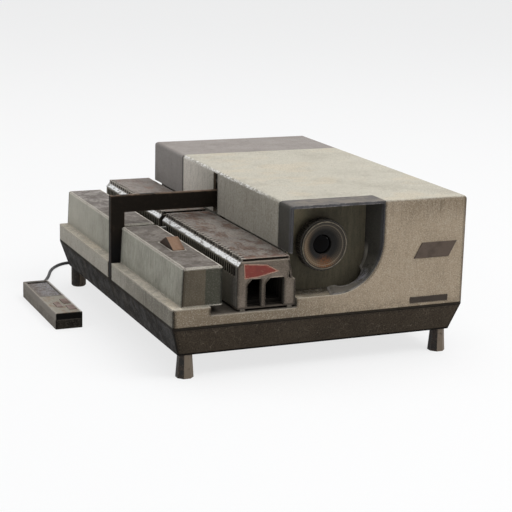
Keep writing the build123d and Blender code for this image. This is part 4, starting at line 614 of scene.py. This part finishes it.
def lid_marks(paint, colour):
    """Wood-brown scratches along the lid, a comb at its left rim, rust at its front edge, and painted light
    towards the back.
    """
    cloudy = paint.noise(16, 5, 0.75, (1, 2, 1), 15.0)
    scratches = paint.noise(1.7, 3, 0.7, (1, 11, 1), 19.0).between(0.54, 0.66)
    cracks = abs(paint.noise(17, 5, 0.75, (1.5, 1, 1), 25.0) - 0.5).between(0.02, 0.0)
    rusty = paint.noise(30, 4, 0.7, (1, 1.4, 1), 51.0).between(0.6, 0.66)
    pale = paint.noise(1.3, 3, 0.7, (1, 12, 1), 29.0).between(0.58, 0.68)
    ragged = paint.noise(6, 5, 0.75, seed=33.0)
    rust = paint.y.between(front_y + 10.5, front_y + 1.5) * ragged.between(0.38, 0.56)
    colour = paint.coats(
        colour,
        (cloudy.between(0.48, 0.57) * 0.75, 96, 76, 66),
        (scratches * 0.5, 122, 88, 68),
        (cracks * cloudy.between(0.44, 0.52), 62, 42, 34),
        (rusty * 0.7, 112, 72, 52),
        (pale * 0.5, 172, 163, 152),
        (rust * 0.8, 104, 62, 44),
        # Painted light: the lid paler towards the back
        (paint.y.between(20, 160) * 0.35, 168, 160, 154),
    )
    return paint.mix(paint.x.between(-58.6, -59.1), colour, comb_teeth(paint))


def comb_teeth(paint):
    """Dark gaps between the pale teeth of the comb along the tray."""
    gaps = paint.y.stripes(2 * math.pi / comb_pitch, -0.45, 0.15)
    return paint.mix(gaps, tone(158, 150, 141), tone(20, 18, 17))


def tray_hollow(paint, colour):
    """A near-black hollow of painted shade with faint ribs, painted shade along the foot, and painted light
    on the left wall beside the deck block.
    """
    # Painted light on the left wall, where the deck block shades it
    outer = paint.on_left() * paint.x.between(-66.3, -66.8) * paint.y.between(-210, -188)
    colour = paint.coats(
        colour,
        # Painted shade along the foot of the tray
        (paint.z.between(73, 71.6) * 0.8, 48, 43, 38),
        (outer * 0.5, 150, 144, 130),
    )
    # Painted shade: the hollow behind the end face near-black, with faint ribs at the slide pitch
    inside = paint.x.between(-66.1, -64.7) * paint.x.between(-10.5, -11.9)
    inside = inside * paint.y.between(front_y + 1.4, front_y + 2.8) * paint.z.between(119.3, 117.9)
    ribs = paint.y.stripes(2 * math.pi / slide_pitch, -0.3, 0.6)
    return paint.mix(inside * 0.95, colour, paint.mix(ribs, tone(26, 24, 22), tone(62, 57, 51)))


class DressHousing(bpy.types.Operator):
    """Give the housing, the rear cover and the plates their finishes"""

    bl_idname = "projector.dress_housing"
    bl_label = "Housing and cover"

    def execute(self, context):
        cream = aged_paint(
            "cream_enamel", colour_of("cream"), colour_of("cream_front"), colour_of("cream_side"),
            worn=(214, 207, 192), dirt_and_shade=(112, 100, 84),
            wear=0.45, speckle=0.42, streaks=0.32, blotches=0.2, marks=housing_marks, hidden=housing_seam,
        )
        dress(cream, "main_housing")
        grey = aged_paint(
            "cover_enamel", colour_of("cover"), tone(138, 131, 125), tone(154, 149, 145),
            worn=(184, 178, 170), dirt_and_shade=(92, 86, 80),
            wear=0.55, speckle=0.3, streaks=0.2, blotches=0.2,
        )
        dress(grey, "rear_cover")
        dress_plain("plate_metal", "name_plate")
        dress_plain("strip_metal", "info_plate")
        return {"FINISHED"}


class DressBase(bpy.types.Operator):
    """Give the base, its feet and its screws their finishes"""

    bl_idname = "projector.dress_base"
    bl_label = "Base and feet"

    def execute(self, context):
        base = aged_paint(
            "base_enamel", colour_of("base"), colour_of("base"), tone(28, 27, 27),
            worn=(88, 80, 69), dirt_and_shade=(30, 26, 23),
            wear=0.6, speckle=0.5, streaks=0.08, blotches=0.35, gloss=0.5, marks=base_marks, hidden=base_rims,
        )
        dress(base, "base_pan")
        rubber = Finish("foot_rubber")
        cloudy = rubber.noise(6, 4, 0.7)
        fine = rubber.noise(1.5, 3, 0.75, seed=3.0)
        lit_facet = (rubber.right * 0.8 - rubber.back * 0.6).between(0.44, 0.52)
        colour = rubber.coats(
            tone(20, 18, 16),
            (cloudy.between(0.4, 0.62), 44, 35, 28),
            (lit_facet * cloudy.between(0.72, 0.52) * 0.8, 124, 111, 96),
            (fine.between(0.56, 0.7) * 0.5, 110, 98, 84),
            (rubber.edges(1.2) * 0.4, 124, 112, 98),
        )
        sole = rubber.close(colour, 0.45 + 0.25 * cloudy, fine, 0.08, specular=0.25)
        dress(sole, "left_foot", "right_foot", "rear_feet")
        dress_plain("zinc_steel", "foot_bushings", "base_screws", "key_pin", "hinge_pins", "guide_rod")
        return {"FINISHED"}


class DressBlocks(bpy.types.Operator):
    """Give the deck blocks and the wedge key their finishes"""

    bl_idname = "projector.dress_blocks"
    bl_label = "Deck blocks and key"

    def execute(self, context):
        enamel = aged_paint(
            "block_enamel", colour_of("block"), tone(94, 86, 73), colour_of("block_side"),
            worn=(222, 215, 201), dirt_and_shade=(66, 60, 52),
            wear=0.9, speckle=0.12, streaks=0.4, blotches=0.3, rub=2.8, marks=block_marks,
        )
        dress(enamel, "front_block", "rear_block")
        key = Finish("key_plastic")
        grain = key.noise(3.0, 4, 0.7)
        # Painted light on the front slope, painted shade on the left face, and painted highlights along the
        # edges
        slope = (1 - key.back.between(-0.2, 0.1)) * (1 - abs(key.right).between(0.5, 0.9))
        shaded = key.x.between(-99, -94.5) * (1 - key.up.between(0.97, 1.0))
        colour = key.coats(
            colour_of("key"),
            (grain.between(0.4, 0.66), 108, 74, 54),
            (slope * 0.5, 140, 112, 90),
            ((-key.right).between(0.5, 0.9) * 0.85, 44, 36, 32),
            (key.edges(0.9) * 0.5, 182, 152, 128),
            (shaded * 0.6, 86, 60, 44),
        )
        dress(key.close(colour, 0.5 + 0.2 * grain, grain, 0.1, soft=1.6, specular=0.15), "control_key")
        return {"FINISHED"}


class DressArm(bpy.types.Operator):
    """Give the changer arm, its blade and its carriage their finishes"""

    bl_idname = "projector.dress_arm"
    bl_label = "Changer arm"

    def execute(self, context):
        arm = Finish("arm_enamel")
        cloudy = arm.noise(12, 5, 0.7, seed=3.0)
        fine = arm.noise(1.6, 3, 0.7, seed=6.0)
        leg = arm.z.between(112, 84) * (1 - arm.up.between(0.4, 0.8))
        rim = arm.edges(1.6) * arm.noise(8, 3, 0.7, seed=8.0).between(0.3, 0.52)
        colour = arm.coats(
            colour_of("arm"),
            (cloudy.between(0.54, 0.68) * 0.6, 46, 38, 32),
            (fine.between(0.6, 0.74) * 0.4, 72, 64, 56),
            (leg * 0.6, 22, 24, 28),
            (rim * 0.45, 104, 88, 74),
            # Painted highlight: patchy pale brown on the top faces
            (arm.on_top() * cloudy.between(0.4, 0.55) * 0.8, 120, 100, 84),
        )
        dress(arm.close(colour, 0.45 + 0.25 * cloudy, fine - rim, 0.12, specular=0.03), "changer_arm")
        dress_plain("carriage_black", "arm_carriage")
        dress_plain("blade_steel", "pusher_blade")
        return {"FINISHED"}


def dress_strips():
    bright = Finish("bright_strip")
    mottled = bright.noise(5, 5, 0.8, (1, 2.4, 1))
    fine = bright.noise(1.3, 3, 0.75, (1, 3, 1), 5.0)
    ragged = bright.noise(4, 5, 0.8, (1, 2, 1), 9.0)
    colour = bright.coats(
        tone(254, 254, 252),
        (mottled.between(0.5, 0.6), 160, 156, 150),
        (fine.between(0.56, 0.66) * 0.8, 60, 54, 48),
        ((bright.x + ragged * 3).between(-65.3, -65.9) * 0.85, 66, 61, 55),
    )
    colour = bright.mix(bright.x.between(-64.2, -64.0), colour, comb_teeth(bright))
    dress(bright.close(colour, 0.3 + 0.3 * mottled, fine, 0.08, specular=0.7), "tray_strips")


def dress_label():
    paper = Finish("label_paper")
    blotch = paper.noise(5, 4, 0.7)
    scratch = paper.noise(0.9, 3, 0.7, (6, 1, 1), 3.0).between(0.6, 0.68)
    border = paper.edges(2.0) * paper.noise(3, 3, 0.7, seed=2.0).between(0.25, 0.5)
    colour = paper.coats(
        colour_of("label"),
        (blotch.between(0.4, 0.7) * 0.6, 92, 30, 22),
        (scratch * 0.6, 158, 108, 82),
        (border * 0.85, 214, 190, 164),
    )
    dress(paper.close(colour, 0.55 + 0.2 * blotch, scratch, 0.05, soft=0.3), "tray_label")


class DressTrays(bpy.types.Operator):
    """Give the slide trays, their lids, strips, label and channel their finishes"""

    bl_idname = "projector.dress_trays"
    bl_label = "Slide trays"

    def execute(self, context):
        body = aged_paint(
            "tray_metal", tone(112, 104, 96), tone(108, 98, 88), tone(98, 95, 90),
            worn=(178, 166, 150), dirt_and_shade=(44, 39, 34),
            wear=0.9, speckle=0.3, streaks=0.25, blotches=0.3, hidden=tray_hollow,
        )
        dress(body, "front_tray", "rear_tray", "tray_coupling")
        lid = aged_paint(
            "tray_lacquer", colour_of("tray"), tone(104, 84, 72), tone(150, 146, 138),
            worn=(196, 188, 176), dirt_and_shade=(66, 58, 50),
            wear=0.6, speckle=0.35, streaks=0.2, blotches=0.4, marks=lid_marks,
        )
        dress(lid, "front_tray_lid", "rear_tray_lid")
        dress_strips()
        dress_label()
        dress_plain("liner_metal", "tray_channel")
        return {"FINISHED"}


def dress_bezel():
    slate = Finish("bezel_slate")
    cloudy = slate.noise(18, 5, 0.7)
    fine = slate.noise(1.6, 3, 0.75, seed=5.0)
    patchy = slate.noise(8, 4, 0.75, seed=14.0)
    above = slate.on_top()
    colour = slate.coats(
        colour_of("slate"),
        (cloudy.between(0.45, 0.65) * 0.5, 58, 56, 54),
        (above * (0.35 + cloudy.between(0.4, 0.56) * 0.6), 122, 115, 106),
    )
    inside = slate.y.between(front_y + 1.5, front_y + 6.5) * (1 - above)
    olive = slate.mix(fine.between(0.4, 0.65), tone(66, 63, 54), tone(44, 42, 37))
    colour = slate.mix(inside * 0.8, colour, olive)
    seam = slate.y.between(-195.5, -194) * slate.x.between(44, 54) * slate.z.between(126, 112)
    low_rim = slate.z.between(118, 100) * slate.x.between(40, 52) * patchy.between(0.36, 0.56)
    # Painted highlight, pale blue-grey, low on the right of the bezel
    painted_gleam = slate.near((82, -206, 86), 16) * patchy.between(0.42, 0.54)
    upright = slate.upright_edges(3.0)
    rim = slate.edges(2.0) * slate.noise(6, 3, 0.7, seed=8.0).between(0.36, 0.58)
    colour = slate.coats(
        colour,
        (seam * 0.8, 158, 152, 142),
        (low_rim * 0.6, 112, 108, 98),
        (painted_gleam * 0.8, 170, 168, 176),
        (fine.between(0.56, 0.72) * 0.4, 122, 118, 112),
        (rim * (1 - upright) * 0.6, 176, 170, 164),
        (upright * 0.6, 30, 29, 29),
    )
    dress(slate.close(colour, 0.5 + 0.2 * cloudy, fine - rim, 0.1, specular=0.12), "lens_bezel")


def dress_panel():
    panel = Finish("recess_panel")
    streaks = panel.noise(3.0, 3, 0.75, (1, 1, 7), 9.0)
    stain = panel.noise(24, 5, 0.7, seed=4.0)
    grain = panel.noise(1.6, 2, 0.8, seed=7.0)
    colour = panel.coats(
        tone(98, 92, 76),
        (streaks.between(0.3, 0.75) * 0.5, 62, 58, 49),
        (stain.between(0.5, 0.66) * 0.35, 104, 96, 78),
        # Painted light: the upper left of the panel paler, where the bezel shades it
        (panel.near((4, -190, 150), 30, (1, 3, 1.2)) * 0.6, 168, 156, 128),
        (grain.between(0.52, 0.7) * 0.4, 44, 41, 36),
    )
    dress(panel.close(colour, 0.5 + 0.25 * stain, grain, 0.08, specular=0.1), "lens_panel")


def dress_ring():
    black = Finish("ring_black")
    fine = black.noise(1.0, 3, 0.7)
    knurls = black.round_lens().stripes(72.0, -0.2, 0.6) * (1 - abs(black.back).between(0.5, 0.8))
    rim = black.edges(0.7) * black.noise(4, 3, 0.7, seed=3.0).between(0.2, 0.45)
    colour = black.coats(
        tone(30, 28, 26),
        (fine.between(0.56, 0.7) * 0.5, 66, 60, 52),
        (knurls * 0.6, 84, 78, 69),
        (rim * 0.55, 118, 108, 94),
    )
    dress(black.close(colour, 0.45 + 0.2 * fine, fine, 0.05, specular=0.25), "focus_ring")


def dress_barrel():
    """Pale lip, grooves and fine teeth in the funnel, which has a painted highlight at its lower left,
    darkens inwards and rusts below.
    """
    lip_radius, step_radius = 24.0, 21.0
    barrel = Finish("barrel_black")
    out = barrel.from_lens()
    front = barrel.y.between(barrel_y + 4, barrel_y)
    cone = front * out.between(lip_radius + 0.2, lip_radius - 0.8)
    grooves = out.stripes(3.6, -0.4, 0.8)
    teeth = barrel.round_lens().stripes(60.0, -0.6, 0.6)
    patchy = barrel.noise(7, 4, 0.7, seed=6.0)
    # Painted highlight on the lower left of the funnel
    highlight_lower_left = (lens_z - barrel.z + lens_x - barrel.x).between(-12, 22)
    funnel = barrel.coats(
        tone(66, 60, 52),
        (highlight_lower_left * 0.8, 120, 98, 74),
        (teeth * 0.45, 40, 36, 31),
        (grooves * 0.3, 36, 31, 26),
        (out.between(step_radius, 14), 13, 11, 9),
    )
    colour = barrel.coats(tone(44, 40, 36), (patchy.between(0.4, 0.7) * 0.6, 26, 24, 22))
    colour = barrel.mix(cone, colour, funnel)
    flakes = barrel.noise(2.0, 4, 0.8, seed=12.0).between(0.42, 0.54)
    rust = barrel.near((35, -200, 107), 12, (1, 3, 1)) * flakes
    lip = front * out.between(lip_radius, lip_radius + 0.3)
    groove = out.between(lip_radius - 0.8, lip_radius - 0.5)
    groove = groove * out.between(lip_radius + 0.1, lip_radius - 0.1)
    step = out.between(step_radius - 0.4, step_radius)
    step = step * out.between(step_radius + 0.6, step_radius + 0.3)
    colour = barrel.coats(
        colour,
        (rust * cone * 0.9, 98, 58, 27),
        (lip * (0.35 + patchy.between(0.4, 0.6) * 0.4), 134, 124, 106),
        (groove * front * 0.8, 34, 30, 26),
        (step * front * 0.5, 134, 122, 104),
    )
    dress(barrel.close(colour, 0.45 + 0.3 * patchy, grooves * cone, 0.12, specular=0.2), "lens_barrel")


def build_glass():
    """Front glass with a smooth dome and the flat rear glass behind it."""
    glass = Finish("lens_glass")
    film = glass.noise(14, 3, 0.6)
    colour = glass.mix(film.between(0.4, 0.7), tone(2, 1, 1), tone(4, 5, 9))
    coated = glass.close(colour, 0.03 + 0.04 * film, soft=0, specular=0.045)
    low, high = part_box("lens_glasses")
    middle = front_middle(low, high)
    radius, bulge, thickness, rings = 0.0102, 0.0026, 0.0039, 12
    turns = [ring * math.pi / 2 / rings for ring in range(rings + 1)]
    dome = [(radius * math.sin(turn), bulge * (1 - math.cos(turn)) ** 1.2) for turn in turns]
    dome += [(radius, thickness), (0.0, thickness)]
    turned("front_glass", dome, middle, 64, "lens_barrel", coated, "lens_glasses")
    rear = [(0.0, 0.0), (0.0145, 0.0), (0.0162, 0.0012), (0.0162, 0.0042), (0.0, 0.0042)]
    rear_depth = 0.0046
    rear_middle = Vector((middle.x, high.y - rear_depth, middle.z))
    turned("rear_glass", rear, rear_middle, 48, "lens_barrel", coated)


class DressLens(bpy.types.Operator):
    """Give the recess, the barrel, the focusing ring and the glasses their finishes"""

    bl_idname = "projector.dress_lens"
    bl_label = "Lens and recess"

    def execute(self, context):
        dress_bezel()
        dress_panel()
        dress_ring()
        dress_barrel()
        dress_plain("mount_cast", "lens_mount")
        build_glass()
        return {"FINISHED"}


class DressHandset(bpy.types.Operator):
    """Give the handset, its keys and its sleeve their finishes"""

    bl_idname = "projector.dress_handset"
    bl_label = "Remote handset"

    def execute(self, context):
        shell = aged_paint(
            "handset_shell", colour_of("handset"), tone(16, 15, 13), tone(122, 116, 108),
            worn=(150, 142, 130), dirt_and_shade=(66, 60, 52),
            wear=0.2, speckle=0.4, streaks=0.15, blotches=0.45, gloss=0.5,
        )
        dress(shell, "remote_shell")
        top = Finish("handset_top")
        cloudy = top.noise(11, 4, 0.7)
        fine = top.noise(1.4, 3, 0.7, seed=4.0)
        ahead = top.y.between(75, 69)
        rim = top.edges(1.2) * fine.between(0.4, 0.6) * top.z.between(14, 17)
        colour = top.coats(
            tone(98, 91, 85),
            (ahead, 156, 150, 138),
            (ahead * cloudy.between(0.5, 0.62) * 0.6, 140, 116, 98),
            (fine.between(0.55, 0.68) * 0.5, 74, 66, 58),
            (top.x.between(-166.5, -165) * 0.8, 226, 222, 216),
            (top.x.between(-191.5, -192.8) * 0.6, 166, 158, 148),
            (top.on_front(), 16, 15, 13),
            (abs(top.right).between(0.5, 0.8) * 0.9, 122, 116, 108),
            (rim * (1 - (-top.back).between(0.3, 0.6)) * 0.6, 206, 198, 186),
        )
        dress(top.close(colour, 0.45 + 0.25 * cloudy, fine, 0.05, specular=0.04), "remote_cover")
        inset = Finish("handset_inset")
        speckles = inset.noise(1.6, 4, 0.85, seed=5.0)
        worn = inset.noise(7, 4, 0.7, seed=2.0)
        colour = inset.coats(
            tone(84, 80, 80),
            (speckles.between(0.42, 0.56), 156, 152, 152),
            (worn.between(0.5, 0.6) * 0.6, 88, 74, 60),
            (inset.x.between(-180, -190) * 0.5, 92, 78, 66),
        )
        dress(inset.close(colour, 0.5 + 0.2 * speckles, speckles, 0.06, specular=0.2), "remote_panel")
        keys = plain_finish(
            "key_mauve", colour_of("mauve"), (168, 150, 138), (84, 66, 54), grain=1.6, wear=0.3, spots=0.7
        )
        dress(keys, "remote_forward_key", "remote_reverse_key", "remote_focus_key")
        return {"FINISHED"}


class BuildCord(bpy.types.Operator):
    """Lay the handset's cord on its route and dress its gland and sleeve"""

    bl_idname = "projector.build_cord"
    bl_label = "Handset cord"

    def execute(self, context):
        rubber = Finish("cord_rubber")
        dusty = rubber.noise(6, 3, 0.6)
        colour = rubber.coats(colour_of("rubber"), (dusty.between(0.45, 0.7) * 0.5, 34, 32, 32))
        material = rubber.close(colour, 0.35 + 0.25 * dusty, dusty, 0.04, soft=0, specular=0.25)
        route = [
            (-0.071, 0.20547, 0.038), (-0.071, 0.2235, 0.038), (-0.071, 0.242, 0.027),
            (-0.0715, 0.257, 0.0125), (-0.0745, 0.2715, 0.0045), (-0.0885, 0.2835, 0.0022),
            (-0.107, 0.2825, 0.0022), (-0.123, 0.266, 0.0022), (-0.1335, 0.247, 0.0022),
            (-0.141, 0.2255, 0.0022), (-0.15, 0.2045, 0.0024), (-0.1585, 0.187, 0.0044),
            (-0.167, 0.174, 0.0086), (-0.167, 0.158, 0.0086),
        ]
        curve = bpy.data.curves.new("handset_cord", "CURVE")
        curve.dimensions = "3D"
        curve.bevel_depth = sizes().cord_diameter / 2
        curve.bevel_resolution = 4
        curve.use_fill_caps = True
        curve.resolution_u = 10
        spline = curve.splines.new("NURBS")
        spline.points.add(len(route) - 1)
        for point, place in zip(spline.points, route):
            point.co = (*place, 1.0)
        spline.order_u = 3
        spline.use_endpoint_u = True
        cord = add_object("handset_cord", curve)
        curve.materials.append(material)
        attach(cord, "projector")
        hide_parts("remote_cord")
        span = 0.012
        start = Vector(route[0]) - Vector((0, span, 0))
        gland = relief(
            "gland_sleeve", start, span, widest=0.0055, narrowest=0.0028,
            material=material, replaced="cord_gland",
        )
        low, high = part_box("remote_sleeve")
        relief(
            "handset_sleeve", front_middle(low, high), high.y - low.y, widest=0.004, narrowest=0.0026,
            material=material, replaced="remote_sleeve",
        )
        return {"FINISHED"}


def dress_transformer():
    core = Finish("core_iron")
    sheets = core.y.stripes(9.0, -0.2, 0.8)
    tarnish = core.noise(8, 4, 0.7)
    colour = core.coats(
        tone(92, 90, 88), (sheets * 0.6, 52, 50, 50), (tarnish.between(0.5, 0.66) * 0.6, 116, 76, 48)
    )
    dress(core.close(colour, 0.4 + 0.3 * tarnish, sheets, 0.1, metal=0.6), "transformer_core")
    tape = Finish("coil_tape")
    wraps = tape.z.stripes(0.7, -0.1, 0.9)
    mottle = tape.noise(7, 3, 0.7)
    colour = tape.coats(
        tone(150, 118, 66), (wraps * 0.5, 110, 82, 44), (mottle.between(0.5, 0.7) * 0.4, 74, 56, 34)
    )
    dress(tape.close(colour, 0.35 + 0.2 * mottle, wraps, 0.15), "transformer_coil")


def dress_board():
    """A green-brown board with faint traces, and grey and pale parts that stand on it."""
    board = Finish("circuit_board")
    traces = board.noise(5, 2, 0.4, (1, 3, 1)).between(0.5, 0.53)
    colour = board.coats(tone(112, 92, 48), (traces * 0.5, 86, 104, 52))
    parts = board.coats(tone(58, 60, 66), (board.noise(9, 2, 0.5).between(0.44, 0.56), 138, 134, 126))
    colour = board.mix(board.z.between(66, 67.5), colour, parts)
    dress(board.close(colour, 0.4 + 0.2 * traces, traces, 0.05), "circuit_board")


class DressInside(bpy.types.Operator):
    """Give the lamp, the fan, the transformer and the other inner parts their finishes"""

    bl_idname = "projector.dress_inside"
    bl_label = "Inner parts"

    def execute(self, context):
        dress_plain("zinc_sheet", "chassis_plate", "slide_gate", "rod_bracket")
        dress_plain("holder_cast", "condenser_holder")
        dress_plain("lamp_sheet", "lamp_house")
        dress_plain("ceramic", "lamp_socket")
        dress_plain("mirror_metal", "lamp_reflector")
        dress_plain("clear_glass", "condenser_lenses", "lamp")
        dress_plain("black_plastic", "fan_housing", "mains_inlet")
        dress_plain("wheel_plastic", "fan_wheel")
        dress_plain("gear_plastic", "feed_gear")
        dress_plain("motor_steel", "feed_motor", "fan_motor")
        dress_transformer()
        dress_board()
        return {"FINISHED"}


def lay_floor():
    half = sizes().floor_width / 2
    mesh = bpy.data.meshes.new("studio_floor")
    corners = [(-half, -half, 0), (half, -half, 0), (half, half, 0), (-half, half, 0)]
    mesh.from_pydata(corners, [], [(0, 1, 2, 3)])
    floor = add_object("studio_floor", mesh)
    pale = Finish("studio_white")
    grain = pale.noise(900, 2, 0.5)
    colour = pale.coats(tone(240, 240, 240), (grain * 0.1, 237, 237, 237))
    surface = pale.node("ShaderNodeBsdfPrincipled", None, {"Base Color": colour, "Roughness": 0.9})[0]
    glow = pale.node("ShaderNodeEmission", None, {"Color": (1, 1, 1, 1), "Strength": 1.0})[0]
    shadow_kept = 0.26
    white = pale.seen_white() * (1 - shadow_kept)
    lit = pale.node("ShaderNodeMixShader", None, {0: white, 1: surface, 2: glow})[0]
    pale.node("ShaderNodeOutputMaterial", None, {"Surface": lit})
    mesh.materials.append(pale.material)


def light_world():
    world = bpy.data.worlds.new("studio")
    bpy.context.scene.world = world
    studio = NodeTree(world)
    sky = {"Color": (0.93, 0.96, 1.0, 1.0), "Strength": 0.38}
    soft = studio.node("ShaderNodeBackground", None, sky)[0]
    white = studio.node("ShaderNodeBackground", None, {"Color": (1.0, 1.0, 1.0, 1.0)})[0]
    both = studio.node("ShaderNodeMixShader", None, {0: studio.seen_white(), 1: soft, 2: white})[0]
    studio.node("ShaderNodeOutputWorld", None, {0: both})


def hang_lamp(name, place, width, power):
    lamp = bpy.data.lights.new(name, "AREA")
    lamp.shape = "SQUARE"
    lamp.size = width
    lamp.energy = power
    holder = add_object(name, lamp)
    target = Vector((0, 0, 0.08))
    aim = target - Vector(place)
    holder.matrix_world = Matrix.Translation(place) @ aim.to_track_quat("-Z", "Y").to_matrix().to_4x4()


def place_camera():
    """The camera of the photograph: its place, and its azimuth, height and roll in degrees."""
    place = (-0.61363, -1.53009, 0.47232)
    azimuth, height, roll = (math.radians(turn) for turn in (-23.34588, 13.67654, 1.42707))
    camera = bpy.data.cameras.new("camera")
    camera.sensor_width = 36.0
    camera.lens = sizes().lens_length
    camera.clip_end = 100.0
    level = math.cos(height)
    back = Vector((math.sin(azimuth) * level, -math.cos(azimuth) * level, math.sin(height)))
    right = Vector((0, 0, 1)).cross(back).normalized()
    up = back.cross(right)
    rolled_right = math.cos(roll) * right + math.sin(roll) * up
    rolled_up = math.cos(roll) * up - math.sin(roll) * right
    holder = add_object("camera", camera)
    axes = Matrix((rolled_right, rolled_up, back)).transposed().to_4x4()
    holder.matrix_world = Matrix.Translation(place) @ axes
    bpy.context.scene.camera = holder


class SetStage(bpy.types.Operator):
    """Set up the floor, the lamps and the camera"""

    bl_idname = "projector.set_stage"
    bl_label = "Studio"

    def execute(self, context):
        lay_floor()
        light_world()
        # Place, width and power of each square lamp
        hang_lamp("key_lamp", (1.3, -1.5, 2.6), 2.0, 46.0)
        hang_lamp("top_lamp", (0.2, 0.4, 2.8), 2.4, 33.0)
        hang_lamp("side_lamp", (-2.4, -0.6, 1.4), 1.6, 7.0)
        hang_lamp("glint_lamp", (1.35, -1.07, 0.42), 0.25, 1.2)
        place_camera()
        context.scene.view_settings.view_transform = "Standard"
        return {"FINISHED"}


steps = (
    SetStage, BuildCord, DressHousing, DressBase, DressBlocks, DressArm, DressTrays, DressLens, DressHandset,
    DressInside,
)


class ProjectorPanel(bpy.types.Panel):
    """Lists the steps, sizes and colours in the sidebar"""

    bl_idname = "VIEW3D_PT_projector"
    bl_label = "Slide projector"
    bl_space_type = "VIEW_3D"
    bl_region_type = "UI"
    bl_category = "Projector"

    def draw(self, context):
        for step in steps:
            self.layout.operator(step.bl_idname)
        for group in (context.scene.projector_sizes, context.scene.projector_colours):
            box = self.layout.box()
            for name in group.__annotations__:
                box.prop(group, name)


classes = (ProjectorSizes, ProjectorColours, *steps, ProjectorPanel)


def register():
    for one in classes:
        bpy.utils.register_class(one)
    bpy.types.Scene.projector_sizes = PointerProperty(type=ProjectorSizes)
    bpy.types.Scene.projector_colours = PointerProperty(type=ProjectorColours)


def unregister():
    del bpy.types.Scene.projector_colours
    del bpy.types.Scene.projector_sizes
    for one in reversed(classes):
        bpy.utils.unregister_class(one)


def main():
    register()
    bpy.ops.projector.set_stage()
    bpy.ops.projector.build_cord()
    bpy.ops.projector.dress_housing()
    bpy.ops.projector.dress_base()
    bpy.ops.projector.dress_blocks()
    bpy.ops.projector.dress_arm()
    bpy.ops.projector.dress_trays()
    bpy.ops.projector.dress_lens()
    bpy.ops.projector.dress_handset()
    bpy.ops.projector.dress_inside()


if __name__ == "__main__":
    main()
